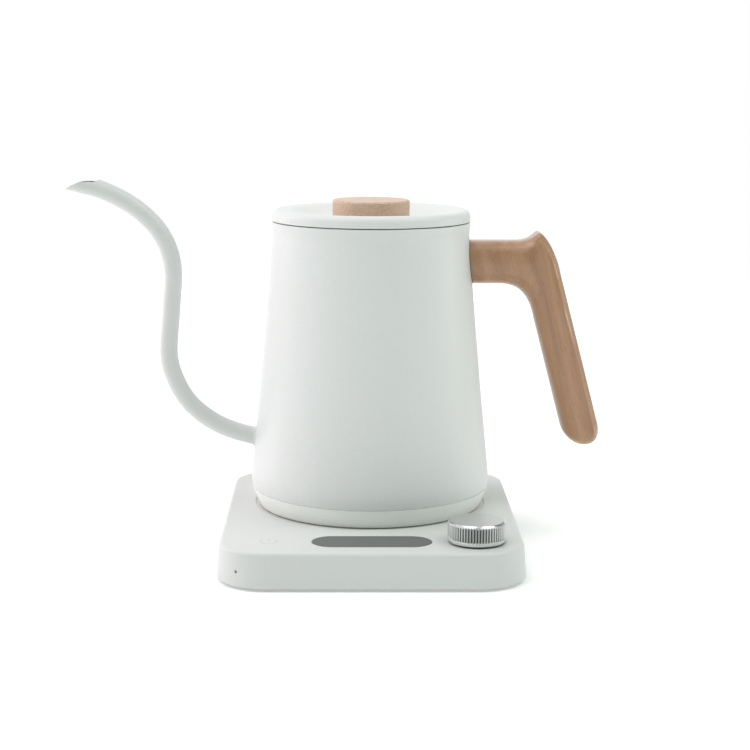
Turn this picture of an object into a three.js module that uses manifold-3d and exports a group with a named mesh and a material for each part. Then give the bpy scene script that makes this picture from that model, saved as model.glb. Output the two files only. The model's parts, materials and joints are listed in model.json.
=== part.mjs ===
// A cordless electric gooseneck kettle standing on its flat heating base, in millimetres, +Z up.
// +X runs towards the handle, -X towards the spout and -Y towards the person who uses it.
// The origin is on the table, under the middle of the whole object.
import * as THREE from "three";
import { mergeVertices } from "three/addons/utils/BufferGeometryUtils.js";
import Module from "manifold-3d";

const wasm = await Module();
wasm.setup();

// ---------------------------------------------------------------- driving dimensions

const GAP = 0.3; // clearance between pieces that rest on or fill one another
const ROUND_SIDES = 40; // sides of a large turned piece
const SMALL_SIDES = 16; // sides of a small turned piece
const PIN_SIDES = 10; // sides of a screw, pin or post

// heating base
const BASE_SIDE = 11.7; // margin of the base beside the kettle's foot ring
const BASE_BACK = 5.4; // margin behind the foot ring
const CONTROL_STRIP = 43.6; // depth of the strip in front of the foot ring
const BASE_HEIGHT = 17.6;
const BASE_CORNER = 24;
const BASE_FLARE = 1.3; // how far the underside stands out past the top edge
const BASE_EDGE = 1.2; // rounding of the top edge
const BASE_WALL = 2.2;
const BASE_PLATE = 2.4; // thickness of the top plate
const UNDER_PLATE = 2.5; // thickness of the bottom cover
const FOOT_PROUD = 1.5; // height of the underside above the table
const FOOT_RADIUS = 8;
const FOOT_SINK = 1.2; // depth of a foot inside the bottom cover
const FOOT_INSET = 21; // from the base's edges to a foot's middle
const SEAT_DEPTH = 0.5; // round recess that the kettle stands in
const PINHOLE_RADIUS = 0.8; // small hole for the buzzer's sound, in the front left corner
const PINHOLE_HEIGHT = 7.4; // above the underside
const PINHOLE_TURN = 143.4; // degrees round the corner, from straight back
const BOSS_RADIUS = 4;
const BOSS_INSET = 12.3; // from the base's side edges to a screw boss
const BOSS_CLEARANCE = 6.3; // between a front boss and the control board
const SCREW_HEAD = { radius: 3.2, height: 1.7 };
const SHANK_RADIUS = 1.5;

// controls along the front of the base
const CONTROL_INSET = 22.8; // from the base's front edge to the middle of the controls
const DISPLAY_MARGIN = 46.3; // from the base's side edges to the ends of the display
const DISPLAY_WIDTH = 20.4;
const DISPLAY_THICKNESS = 1.6;
const DISPLAY_LEDGE = 2.2;
const TOUCH_INSET = 24.7; // from the base's left edge to the touch key
const TOUCH_RADIUS = 8;
const DIAL_INSET = 23.8; // from the base's right edge to the dial's middle
const DIAL_RADIUS = 14.6;
const DIAL_HEIGHT = 10.4;
const DIAL_LIFT = 0.9; // space under the dial
const DIAL_TRAVEL = 0.6; // how far the dial can be pressed
const DIAL_CHAMFER = 1.3;
const DIAL_WALL = 2.4;
const SHAFT_RADIUS = 3;
const BUSH_WALL = 1;
const BUSH_PROUD = 2.5; // height of the encoder's bush above the base
const BOARD_THICKNESS = 1.6;
const BOARD_LIFT = 1;
const CONTROL_BOARD_MARGIN = 14.3; // from the base's side edges to the control board
const CONTROL_BOARD_DEPTH = 24;
const POWER_BOARD_WIDTH = 84;
const POWER_BOARD_FRONT = 7; // between the coupler and the power board
const POWER_BOARD_BACK = 5.7; // between the power board and the cord inlet
const INLET_LIP = 3; // thickness of the inlet's flange

// cordless coupler
const COUPLER_RADIUS = 18;
const COUPLER_PROUD = 7; // height of the base's half above the base
const COUPLER_GAP = 0.6;
const COUPLER_WALL = 3;
const CONTACT_DEPTH = 9;
const CONTACT_RINGS = [
  { inner: 4.5, outer: 6.9 },
  { inner: 10, outer: 12.6 },
];
const CONTACT_HOLE = 1.9;

// kettle body
const FOOT_RING_HEIGHT = 10;
const FOOT_RING_STEP = 0.5; // the foot ring is this much narrower than the body
const FOOT_RING_BULGE = 5; // how far the foot ring draws in towards the base
const FOOT_RING_WALL = 2;
const BODY_SEAM = 0.4; // line between foot ring and body
const BODY_HEIGHT = 142.8;
const BODY_FOOT_RADIUS = 65.1;
const BODY_NECK_RADIUS = 51.9;
const BODY_WAIST = 0.6; // how far the side bows in halfway up
const BODY_WALL = 1.2;
const LIP_FLARE = 1; // the rolled lip stands out past the neck
const LIP_HEIGHT = 4.1;
const MOUTH_RIM = 6; // from the neck's outside in to the mouth
const COLLAR_DEPTH = 8;
const PLATE_SPACE = 6.9; // between the coupler's cup and the heating plate
const PLATE_THICKNESS = 1.5;
const ELEMENT_TUBE = 3.3;
const SPREADER_THICKNESS = 1.4;
const SPREADER_CLEARANCE = 2.5; // from the heat spreader to the probe's seal and to the studs
const STUD_RADIUS = 3;
const STUD_CLEARANCE = 0.6; // between a stud and the foot ring's inside
const PROBE = { x: 15, y: 11, radius: 2.6 };
const PROBE_SEAL_WALL = 3;

// lid
const LID_SEAM = 0.5;
const LID_HEIGHT = 6;
const LID_WALL = 1.2;
const LID_DISH = 4.2; // depth of the hollow in the top of the lid
const DISH_MARGIN = 6.3; // flat floor of the dish round the knob
const LID_PLUG_DEPTH = 11.6; // how far the inner cover reaches into the mouth
const LID_PLUG_GAP = 1.3;
const SEAL_HEIGHT = 3;
const KNOB_RADIUS = 20.7;
const KNOB_HEIGHT = 8.9;
const KNOB_ROUNDING = 1.4;
const KNOB_SKIN = 2.5; // wood left over the knob's bore
const INSERT_RADIUS = 3.4;

// spout
const SPOUT_RADIUS = 4.775;
const SPOUT_WALL = 0.8;
const SPOUT_ROOT = 25.8; // height of the root above the bottom of the body

// handle
const HANDLE_WIDTH = 24;
const HANDLE_BEVEL = 3;
const ARM_DROP = 10; // from the top of the body down to the top of the arm
const ARM_HEIGHT = 23;
const GASKET = 0.8;
const TANG = 12; // side of the square steel tang inside the arm
const TANG_SKIN = 0.6; // wood between a screw head and the tang
const HANDLE_SCREW_PITCH = 9;
const TANG_END = 4.5; // steel past the second screw

// ---------------------------------------------------------------- levels above the table

const UNDERSIDE = FOOT_PROUD;
const INNER_FLOOR = UNDERSIDE + UNDER_PLATE;
const BASE_TOP = UNDERSIDE + BASE_HEIGHT;
const INNER_CEILING = BASE_TOP - BASE_PLATE;
const SEAT = BASE_TOP - SEAT_DEPTH;
const KETTLE_FOOT = SEAT + GAP;
const FOOT_RING_FLOOR = KETTLE_FOOT + FOOT_RING_WALL;
const FOOT_RING_TOP = KETTLE_FOOT + FOOT_RING_HEIGHT;
const BODY_BOTTOM = FOOT_RING_TOP + BODY_SEAM;
const BODY_TOP = BODY_BOTTOM + BODY_HEIGHT;
const LIP_START = BODY_TOP - LIP_HEIGHT;
const LID_BOTTOM = BODY_TOP + LID_SEAM;
const LID_CREST = LID_BOTTOM + LID_HEIGHT;
const DISH_FLOOR = LID_CREST - LID_DISH;
const COUPLER_TOP = BASE_TOP + COUPLER_PROUD;
const CONTACT_FLOOR = COUPLER_TOP - CONTACT_DEPTH;
const CUP_CEILING = COUPLER_TOP + COUPLER_GAP;
const CUP_TOP = CUP_CEILING + 2.4;
const PLATE_BOTTOM = CUP_TOP + PLATE_SPACE;
const SPREADER_BOTTOM = PLATE_BOTTOM - GAP - SPREADER_THICKNESS;
const SPOUT_LEVEL = BODY_BOTTOM + SPOUT_ROOT;
const ARM_TOP = BODY_TOP - ARM_DROP;
const ARM_BOTTOM = ARM_TOP - ARM_HEIGHT;
const BOARD_BOTTOM = INNER_FLOOR + BOARD_LIFT;
const BOARD_TOP = BOARD_BOTTOM + BOARD_THICKNESS;
const DIAL_BOTTOM = BASE_TOP + DIAL_LIFT;
const DIAL_TOP = DIAL_BOTTOM + DIAL_HEIGHT;
const BUSH_TOP = BASE_TOP + BUSH_PROUD;
const SHAFT_BOTTOM = BOARD_TOP + 3.4;
const INLET_HEIGHT = (INNER_FLOOR + INNER_CEILING) / 2;

// ---------------------------------------------------------------- radii, widths and places

// How far the base's side stands out past its top edge at a level.
function baseGrowth(z) {
  return (BASE_FLARE * (BASE_TOP - z)) / BASE_HEIGHT;
}

const FOOT_RING_RADIUS = BODY_FOOT_RADIUS - FOOT_RING_STEP;
const FOOT_RING_TOE = FOOT_RING_RADIUS - FOOT_RING_BULGE;
const SEAT_RADIUS = FOOT_RING_RADIUS - 2.1; // the foot ring overhangs the recess it stands in
const LIP_RADIUS = BODY_NECK_RADIUS + LIP_FLARE;
const MOUTH_RADIUS = BODY_NECK_RADIUS - MOUTH_RIM;
const LID_DISH_RADIUS = KNOB_RADIUS + DISH_MARGIN;
const CUP_BORE = COUPLER_RADIUS + COUPLER_GAP;
const BASE_WIDTH = 2 * (FOOT_RING_RADIUS + BASE_SIDE);
const BASE_DEPTH = BASE_BACK + 2 * FOOT_RING_RADIUS + CONTROL_STRIP;
const KETTLE_Y = BASE_DEPTH / 2 - BASE_BACK - FOOT_RING_RADIUS; // kettle's axis, from the base's middle
const CONTROL_Y = CONTROL_INSET - BASE_DEPTH / 2;
const DISPLAY_LENGTH = BASE_WIDTH - 2 * DISPLAY_MARGIN;
const TOUCH_X = TOUCH_INSET - BASE_WIDTH / 2;
const DIAL_X = BASE_WIDTH / 2 - DIAL_INSET;
const FOOT_X = BASE_WIDTH / 2 - FOOT_INSET;
const FOOT_Y = BASE_DEPTH / 2 - FOOT_INSET;
const BOSS_X = BASE_WIDTH / 2 - BOSS_INSET;
const BOSS_Y = -CONTROL_Y - CONTROL_BOARD_DEPTH / 2 - BOSS_CLEARANCE - BOSS_RADIUS;
const INLET_FLANGE = (INNER_CEILING - INNER_FLOOR) / 2 - GAP;
const INLET_BARREL = INLET_FLANGE - 1.25;
const INLET_BORE = INLET_BARREL - 1.3;
const CONTROL_BOARD = {
  width: BASE_WIDTH - 2 * CONTROL_BOARD_MARGIN,
  depth: CONTROL_BOARD_DEPTH,
  y: CONTROL_Y,
};
const BACK_WALL = BASE_DEPTH / 2 + baseGrowth(INNER_CEILING) - BASE_WALL - GAP; // inside face
const POWER_BOARD_START = KETTLE_Y + COUPLER_RADIUS + POWER_BOARD_FRONT;
const POWER_BOARD_END = BACK_WALL - INLET_LIP - POWER_BOARD_BACK;
const POWER_BOARD = {
  width: POWER_BOARD_WIDTH,
  depth: POWER_BOARD_END - POWER_BOARD_START,
  y: (POWER_BOARD_START + POWER_BOARD_END) / 2,
};
const STUD_CIRCLE = FOOT_RING_TOE - FOOT_RING_WALL - STUD_CLEARANCE - STUD_RADIUS;
const STUDS = [90, 210, 330].map((degrees) => {
  const angle = THREE.MathUtils.degToRad(degrees);
  return [STUD_CIRCLE * Math.cos(angle), STUD_CIRCLE * Math.sin(angle)];
});
const SEAL_REACH = Math.hypot(PROBE.x, PROBE.y) + PROBE.radius + PROBE_SEAL_WALL;
const SPREADER_INSIDE = SEAL_REACH + SPREADER_CLEARANCE;
const SPREADER_OUTSIDE = STUD_CIRCLE - STUD_RADIUS - SPREADER_CLEARANCE;
const ELEMENT_RADIUS = (SPREADER_INSIDE + SPREADER_OUTSIDE) / 2;

// ---------------------------------------------------------------- finishes

const FINISHES = {
  whiteCoat: { color: 0xe4e9e4, roughness: 0.55, metalness: 0 },
  whitePlastic: { color: 0xdfe3df, roughness: 0.5, metalness: 0 },
  wood: { color: 0xc19a78, roughness: 0.6, metalness: 0 },
  steel: { color: 0xb8babc, roughness: 0.35, metalness: 1 },
  aluminium: { color: 0xc6c6c4, roughness: 0.3, metalness: 1 },
  brass: { color: 0xc9a24b, roughness: 0.35, metalness: 1 },
  darkPlastic: { color: 0x2b2c2d, roughness: 0.5, metalness: 0 },
  darkWindow: { color: 0x4a4d4f, roughness: 0.15, metalness: 0 },
  silicone: { color: 0x3a3a3a, roughness: 0.8, metalness: 0 },
  clearSilicone: { color: 0xd8d8d2, roughness: 0.6, metalness: 0 },
  board: { color: 0x2f6b45, roughness: 0.6, metalness: 0 },
};

// ---------------------------------------------------------------- helpers

// A closed geometry with shared vertices and no empty triangles.
function welded(geometry) {
  const bare = geometry.index ? geometry.toNonIndexed() : geometry.clone();
  for (const name of Object.keys(bare.attributes)) {
    if (name !== "position") bare.deleteAttribute(name);
  }
  const merged = mergeVertices(bare, 1e-4);
  const from = merged.index.array;
  const kept = [];
  for (let i = 0; i < from.length; i += 3) {
    const [a, b, c] = [from[i], from[i + 1], from[i + 2]];
    if (a !== b && b !== c && c !== a) kept.push(a, b, c);
  }
  merged.setIndex(kept);
  return merged;
}

function solid(geometry) {
  const shape = welded(geometry);
  return new wasm.Manifold(
    new wasm.Mesh({
      numProp: 3,
      vertProperties: new Float32Array(shape.attributes.position.array),
      triVerts: new Uint32Array(shape.index.array),
    }),
  );
}

function geometryOf(manifold) {
  const mesh = manifold.getMesh();
  const geometry = new THREE.BufferGeometry();
  geometry.setAttribute("position", new THREE.BufferAttribute(mesh.vertProperties, 3));
  geometry.setIndex(new THREE.BufferAttribute(mesh.triVerts, 1));
  geometry.computeVertexNormals();
  return geometry;
}

// The first geometry joined with the others.
function joined(first, ...others) {
  return geometryOf(others.reduce((whole, part) => whole.add(solid(part)), solid(first)));
}

// The first geometry with the others taken away.
function cut(first, ...others) {
  return geometryOf(others.reduce((rest, part) => rest.subtract(solid(part)), solid(first)));
}

function common(first, second) {
  return geometryOf(solid(first).intersect(solid(second)));
}

// A piece turned about Z from [radius, height] points, which start and end on the axis or form a loop.
function turned(points, sides = ROUND_SIDES) {
  const onAxis = points[0][0] === 0 && points[points.length - 1][0] === 0;
  const loop = onAxis ? [...points] : [...points, points[0]];
  const area = loop.reduce((sum, [r, z], i) => {
    const [r2, z2] = loop[(i + 1) % loop.length];
    return sum + r * z2 - r2 * z;
  }, 0);
  if (area < 0) loop.reverse();
  const profile = loop.map(([r, z]) => new THREE.Vector2(r, z));
  return new THREE.LatheGeometry(profile, sides).rotateX(Math.PI / 2);
}

function disc(radius, bottom, top, sides = SMALL_SIDES) {
  const profile = [
    [0, bottom],
    [radius, bottom],
    [radius, top],
    [0, top],
  ];
  return turned(profile, sides);
}

// A cutter for a round hole whose flat sides, not its corners, lie at the radius.
function hole(radius, bottom, top, sides = SMALL_SIDES) {
  return disc(radius / Math.cos(Math.PI / sides), bottom, top, sides);
}

function ring(inner, outer, bottom, top, sides = SMALL_SIDES) {
  const profile = [
    [inner, bottom],
    [outer, bottom],
    [outer, top],
    [inner, top],
  ];
  return turned(profile, sides);
}

function block(width, depth, bottom, top) {
  return new THREE.BoxGeometry(width, depth, top - bottom).translate(0, 0, (bottom + top) / 2);
}

function at(geometry, x, y, z = 0) {
  return geometry.clone().translate(x, y, z);
}

// A rectangle with round corners, centred on the origin.
function roundedShape(width, depth, radius) {
  const x = width / 2 - radius;
  const y = depth / 2 - radius;
  const shape = new THREE.Shape();
  shape.absarc(x, y, radius, 0, Math.PI / 2);
  shape.absarc(-x, y, radius, Math.PI / 2, Math.PI);
  shape.absarc(-x, -y, radius, Math.PI, 1.5 * Math.PI);
  shape.absarc(x, -y, radius, 1.5 * Math.PI, 2 * Math.PI);
  return shape;
}

function slab(shape, bottom, top, segments = 4) {
  const settings = { depth: top - bottom, bevelEnabled: false, curveSegments: segments };
  return new THREE.ExtrudeGeometry(shape, settings).translate(0, 0, bottom);
}

// A solid through a stack of [grown, height] outlines of the base, from the bottom up.
function baseStack(levels) {
  const loops = levels.map(([grown, z]) => {
    const shape = roundedShape(BASE_WIDTH + 2 * grown, BASE_DEPTH + 2 * grown, BASE_CORNER + grown);
    return shape.getPoints(4).map((p) => [p.x, p.y, z]);
  });
  const count = loops[0].length;
  const points = loops.flat();
  const bottomMiddle = points.push([0, 0, levels[0][1]]) - 1;
  const topMiddle = points.push([0, 0, levels[levels.length - 1][1]]) - 1;
  const topStart = (levels.length - 1) * count;
  const index = [];
  for (let i = 0; i < count; i += 1) {
    const next = (i + 1) % count;
    index.push(bottomMiddle, next, i);
    index.push(topMiddle, topStart + i, topStart + next);
    for (let row = 0; row < topStart; row += count) {
      index.push(row + i, row + next, row + count + next);
      index.push(row + i, row + count + next, row + count + i);
    }
  }
  const geometry = new THREE.BufferGeometry();
  geometry.setAttribute("position", new THREE.Float32BufferAttribute(points.flat(), 3));
  geometry.setIndex(index);
  return geometry;
}

// A screw standing head down, its head's face at the given level.
function screw(headRadius, headHeight, shankRadius, bottom, top) {
  const profile = [
    [0, bottom + headHeight / 2],
    [headRadius / 2, bottom],
    [headRadius, bottom],
    [headRadius, bottom + headHeight],
    [shankRadius, bottom + headHeight],
    [shankRadius, top],
    [0, top],
  ];
  return turned(profile, PIN_SIDES);
}

function piece(parent, name, geometry, finish, x = 0, y = 0, z = 0) {
  const mesh = new THREE.Mesh(welded(geometry), new THREE.MeshStandardMaterial(FINISHES[finish]));
  mesh.name = name;
  mesh.position.set(x, y, z);
  parent.add(mesh);
  return mesh;
}

// Each [x, y] sign pair of the four corners, with the name of its corner.
const CORNERS = [
  ["front_left", -1, -1],
  ["front_right", 1, -1],
  ["back_left", -1, 1],
  ["back_right", 1, 1],
];

// ---------------------------------------------------------------- heating base

function baseTopCover() {
  const outside = baseStack([
    [BASE_FLARE, UNDERSIDE],
    [baseGrowth(BASE_TOP - BASE_EDGE), BASE_TOP - BASE_EDGE],
    [baseGrowth(BASE_TOP) - 0.3 * BASE_EDGE, BASE_TOP - 0.3 * BASE_EDGE],
    [baseGrowth(BASE_TOP) - BASE_EDGE, BASE_TOP],
  ]);
  const inside = baseStack([
    [baseGrowth(UNDERSIDE - 1) - BASE_WALL, UNDERSIDE - 1],
    [baseGrowth(INNER_CEILING) - BASE_WALL, INNER_CEILING],
  ]);
  const bossBore = SHANK_RADIUS + GAP;
  const boss = ring(bossBore, BOSS_RADIUS, INNER_FLOOR + GAP, INNER_CEILING + 0.5, PIN_SIDES);
  const bosses = CORNERS.map(([, sx, sy]) => at(boss, sx * BOSS_X, sy * BOSS_Y));
  const seat = disc(SEAT_RADIUS, SEAT, BASE_TOP + 1, ROUND_SIDES);
  const couplerHole = hole(COUPLER_RADIUS + GAP, INNER_CEILING - 1, BASE_TOP + 1);
  const [windowLength, windowWidth] = [DISPLAY_LENGTH + 2 * GAP, DISPLAY_WIDTH + 2 * GAP];
  const window = roundedShape(windowLength, windowWidth, windowWidth / 2);
  const sightLength = DISPLAY_LENGTH - 2 * DISPLAY_LEDGE;
  const sightWidth = DISPLAY_WIDTH - 2 * DISPLAY_LEDGE;
  const sight = roundedShape(sightLength, sightWidth, sightWidth / 2);
  const bushHole = hole(SHAFT_RADIUS + BUSH_WALL + 2 * GAP, INNER_CEILING - 1, BASE_TOP + 1);
  const inletHole = hole(INLET_BARREL + GAP, 0, BASE_WALL + 4).rotateX(-Math.PI / 2);
  const [wallInside, wallOutside] = [BASE_CORNER - BASE_WALL - 1, BASE_CORNER + BASE_FLARE + 1];
  const pinhole = hole(PINHOLE_RADIUS, wallInside, wallOutside, PIN_SIDES).rotateX(-Math.PI / 2);
  pinhole.rotateZ(THREE.MathUtils.degToRad(PINHOLE_TURN));
  const [cornerX, cornerY] = [BASE_CORNER - BASE_WIDTH / 2, BASE_CORNER - BASE_DEPTH / 2];
  const shell = cut(
    outside,
    inside,
    at(seat, 0, KETTLE_Y),
    at(couplerHole, 0, KETTLE_Y),
    at(slab(window, BASE_TOP - DISPLAY_THICKNESS - GAP, BASE_TOP + 1), 0, CONTROL_Y),
    at(slab(sight, INNER_CEILING - 1, BASE_TOP), 0, CONTROL_Y),
    at(bushHole, DIAL_X, CONTROL_Y),
    at(inletHole, 0, BASE_DEPTH / 2 - BASE_WALL - 1, INLET_HEIGHT),
    at(pinhole, cornerX, cornerY, UNDERSIDE + PINHOLE_HEIGHT),
  );
  return joined(shell, ...bosses);
}

function baseBottomCover() {
  const plate = baseStack([
    [baseGrowth(UNDERSIDE) - BASE_WALL - GAP, UNDERSIDE],
    [baseGrowth(INNER_FLOOR) - BASE_WALL - GAP, INNER_FLOOR],
  ]);
  const footHole = hole(FOOT_RADIUS + GAP, UNDERSIDE - 1, UNDERSIDE + FOOT_SINK + GAP);
  const headTop = UNDERSIDE + SCREW_HEAD.height + GAP;
  const headHole = hole(SCREW_HEAD.radius + GAP, UNDERSIDE - 1, headTop, PIN_SIDES);
  const shankHole = hole(SHANK_RADIUS + GAP, UNDERSIDE, INNER_FLOOR + 1, PIN_SIDES);
  const holes = CORNERS.flatMap(([, sx, sy]) => [
    at(footHole, sx * FOOT_X, sy * FOOT_Y),
    at(headHole, sx * BOSS_X, sy * BOSS_Y),
    at(shankHole, sx * BOSS_X, sy * BOSS_Y),
  ]);
  const post = disc(2.5, INNER_FLOOR - 0.5, BOARD_BOTTOM - GAP, 8);
  const posts = [CONTROL_BOARD, POWER_BOARD].flatMap(({ width, depth, y }) =>
    CORNERS.map(([, sx, sy]) => at(post, sx * (width / 2 - 5), y + sy * (depth / 2 - 4))),
  );
  return joined(cut(plate, ...holes), ...posts);
}

function displayWindow() {
  const shape = roundedShape(DISPLAY_LENGTH, DISPLAY_WIDTH, DISPLAY_WIDTH / 2);
  return slab(shape, BASE_TOP - DISPLAY_THICKNESS, BASE_TOP, 6);
}

function touchSensor() {
  const profile = [
    [0, BOARD_TOP + GAP],
    [3, BOARD_TOP + GAP],
    [3, INNER_CEILING - GAP - 1.2],
    [TOUCH_RADIUS, INNER_CEILING - GAP - 1.2],
    [TOUCH_RADIUS, INNER_CEILING - GAP],
    [0, INNER_CEILING - GAP],
  ];
  return turned(profile, SMALL_SIDES);
}

function cordInlet() {
  const wallOutside = BASE_DEPTH / 2 + BASE_FLARE;
  const profile = [
    [INLET_BORE, BACK_WALL - INLET_LIP],
    [INLET_FLANGE, BACK_WALL - INLET_LIP],
    [INLET_FLANGE, BACK_WALL],
    [INLET_BARREL, BACK_WALL],
    [INLET_BARREL, wallOutside - 0.6],
    [INLET_BARREL - 0.6, wallOutside],
    [INLET_BORE, wallOutside],
  ];
  return turned(profile, SMALL_SIDES).rotateX(-Math.PI / 2);
}

function baseCoupler() {
  const flangeTop = INNER_CEILING - GAP;
  const grooves = [...CONTACT_RINGS].reverse().flatMap(({ inner, outer }) => [
    [outer, COUPLER_TOP],
    [outer, CONTACT_FLOOR],
    [inner, CONTACT_FLOOR],
    [inner, COUPLER_TOP],
  ]);
  return turned([
    [0, INNER_FLOOR + GAP],
    [COUPLER_RADIUS - 2, INNER_FLOOR + GAP],
    [COUPLER_RADIUS - 2, flangeTop - 2.5],
    [COUPLER_RADIUS + 3, flangeTop - 2.5],
    [COUPLER_RADIUS + 3, flangeTop],
    [COUPLER_RADIUS, flangeTop],
    [COUPLER_RADIUS, COUPLER_TOP - 1],
    [COUPLER_RADIUS - 1, COUPLER_TOP],
    ...grooves,
    [CONTACT_HOLE, COUPLER_TOP],
    [CONTACT_HOLE, CONTACT_FLOOR - 3],
    [0, CONTACT_FLOOR - 3],
  ], 24);
}

function base() {
  const group = new THREE.Group();
  piece(group, "base_top_cover", baseTopCover(), "whitePlastic");
  piece(group, "base_bottom_cover", baseBottomCover(), "whitePlastic");
  const foot = turned([
    [0, 0],
    [FOOT_RADIUS - 0.6, 0],
    [FOOT_RADIUS, 0.6],
    [FOOT_RADIUS, UNDERSIDE + FOOT_SINK],
    [0, UNDERSIDE + FOOT_SINK],
  ], SMALL_SIDES);
  const top = (INNER_FLOOR + INNER_CEILING) / 2;
  const coverScrew = screw(SCREW_HEAD.radius, SCREW_HEAD.height, SHANK_RADIUS, UNDERSIDE + 0.2, top);
  for (const [corner, sx, sy] of CORNERS) {
    piece(group, `rubber_foot_${corner}`, foot, "silicone", sx * FOOT_X, sy * FOOT_Y);
    piece(group, `base_screw_${corner}`, coverScrew, "steel", sx * BOSS_X, sy * BOSS_Y);
  }
  piece(group, "cord_inlet", cordInlet(), "darkPlastic", 0, 0, INLET_HEIGHT);

  piece(group, "base_coupler", baseCoupler(), "darkPlastic", 0, KETTLE_Y);
  CONTACT_RINGS.forEach(({ inner }, i) => {
    const contact = ring(inner + GAP, inner + GAP + 0.5, CONTACT_FLOOR + GAP, COUPLER_TOP - 3);
    piece(group, `base_contact_${i + 1}`, contact, "brass", 0, KETTLE_Y);
  });

  const power = POWER_BOARD;
  const powerBoard = block(power.width, power.depth, BOARD_BOTTOM, BOARD_TOP);
  piece(group, "power_board", powerBoard, "board", 0, power.y);
  const relay = block(20, 16, BOARD_TOP + GAP, INNER_CEILING - GAP);
  piece(group, "power_relay", relay, "darkPlastic", 18 - power.width / 2, power.y);

  const control = CONTROL_BOARD;
  const controlBoard = block(control.width, control.depth, BOARD_BOTTOM, BOARD_TOP);
  piece(group, "control_board", controlBoard, "board", 0, control.y);
  piece(group, "display_window", displayWindow(), "darkWindow", 0, CONTROL_Y);
  const moduleTop = INNER_CEILING - GAP;
  const displayModule = block(DISPLAY_LENGTH - 4, DISPLAY_WIDTH - 3, BOARD_TOP + GAP, moduleTop);
  piece(group, "display_module", displayModule, "darkPlastic", 0, CONTROL_Y);
  piece(group, "touch_sensor", touchSensor(), "brass", TOUCH_X, CONTROL_Y);
  return group;
}

// ---------------------------------------------------------------- push-and-turn dial

function encoderBody() {
  const ceiling = INNER_CEILING - 2;
  const housing = block(13, 13, BOARD_TOP + GAP, ceiling);
  const bush = disc(SHAFT_RADIUS + GAP + BUSH_WALL, ceiling - 1, BUSH_TOP);
  const bore = hole(SHAFT_RADIUS + GAP, BOARD_TOP + 1.1, BUSH_TOP + 1);
  return cut(joined(housing, bush), bore);
}

function encoderNut() {
  const outside = disc(SHAFT_RADIUS + BUSH_WALL + 3.4, BASE_TOP + GAP, BUSH_TOP - GAP, 6);
  const bore = hole(SHAFT_RADIUS + BUSH_WALL + 2 * GAP, BASE_TOP - 1, BUSH_TOP + 1);
  return cut(outside, bore);
}

function controlDial() {
  return turned([
    [0, DIAL_TOP],
    [DIAL_RADIUS - DIAL_CHAMFER, DIAL_TOP],
    [DIAL_RADIUS, DIAL_TOP - DIAL_CHAMFER],
    [DIAL_RADIUS, DIAL_BOTTOM],
    [DIAL_RADIUS - DIAL_WALL, DIAL_BOTTOM],
    [DIAL_RADIUS - DIAL_WALL, DIAL_TOP - DIAL_WALL],
    [0, DIAL_TOP - DIAL_WALL],
  ], 32);
}

// The plastic hub inside the metal dial, with a blind bore for the shaft.
function dialHub() {
  const top = DIAL_TOP - DIAL_WALL - GAP;
  const bottom = BUSH_TOP + DIAL_TRAVEL + GAP;
  const radius = DIAL_RADIUS - DIAL_WALL - GAP;
  return turned([
    [0, top],
    [radius, top],
    [radius, bottom],
    [SHAFT_RADIUS + GAP, bottom],
    [SHAFT_RADIUS + GAP, top - 1.2],
    [0, top - 1.2],
  ]);
}

function dial() {
  const group = new THREE.Group();
  piece(group, "encoder_body", encoderBody(), "steel");
  piece(group, "encoder_nut", encoderNut(), "steel");
  const actuator = disc(SHAFT_RADIUS - 0.2, SHAFT_BOTTOM - GAP - 1, SHAFT_BOTTOM - GAP);
  piece(group, "push_actuator", actuator, "darkPlastic");
  const shaftTop = DIAL_TOP - DIAL_WALL - 2 * GAP - 1.2;
  piece(group, "encoder_shaft", disc(SHAFT_RADIUS, SHAFT_BOTTOM, shaftTop), "aluminium");
  piece(group, "dial_hub", dialHub(), "darkPlastic");
  piece(group, "control_dial", controlDial(), "aluminium");
  return group;
}

// ---------------------------------------------------------------- kettle body

// Outside radius of the body at a height, without its rolled lip.
function bodyRadius(z) {
  const t = (z - BODY_BOTTOM) / BODY_HEIGHT;
  const straight = BODY_FOOT_RADIUS + (BODY_NECK_RADIUS - BODY_FOOT_RADIUS) * t;
  return straight - BODY_WAIST * Math.sin(Math.PI * t);
}

// [radius, height] points up the body's side, moved out or in by an offset.
function sidePoints(offset, bottom, top, steps) {
  return Array.from({ length: steps + 1 }, (_, i) => {
    const z = bottom + ((top - bottom) * i) / steps;
    return [bodyRadius(z) + offset, z];
  });
}

// The space that the body fills, grown by an offset, as a plain solid.
function bodySpace(offset) {
  const side = sidePoints(offset, BODY_BOTTOM, LIP_START, 8);
  return turned([[0, BODY_BOTTOM], ...side, [0, LIP_START]]);
}

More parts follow.
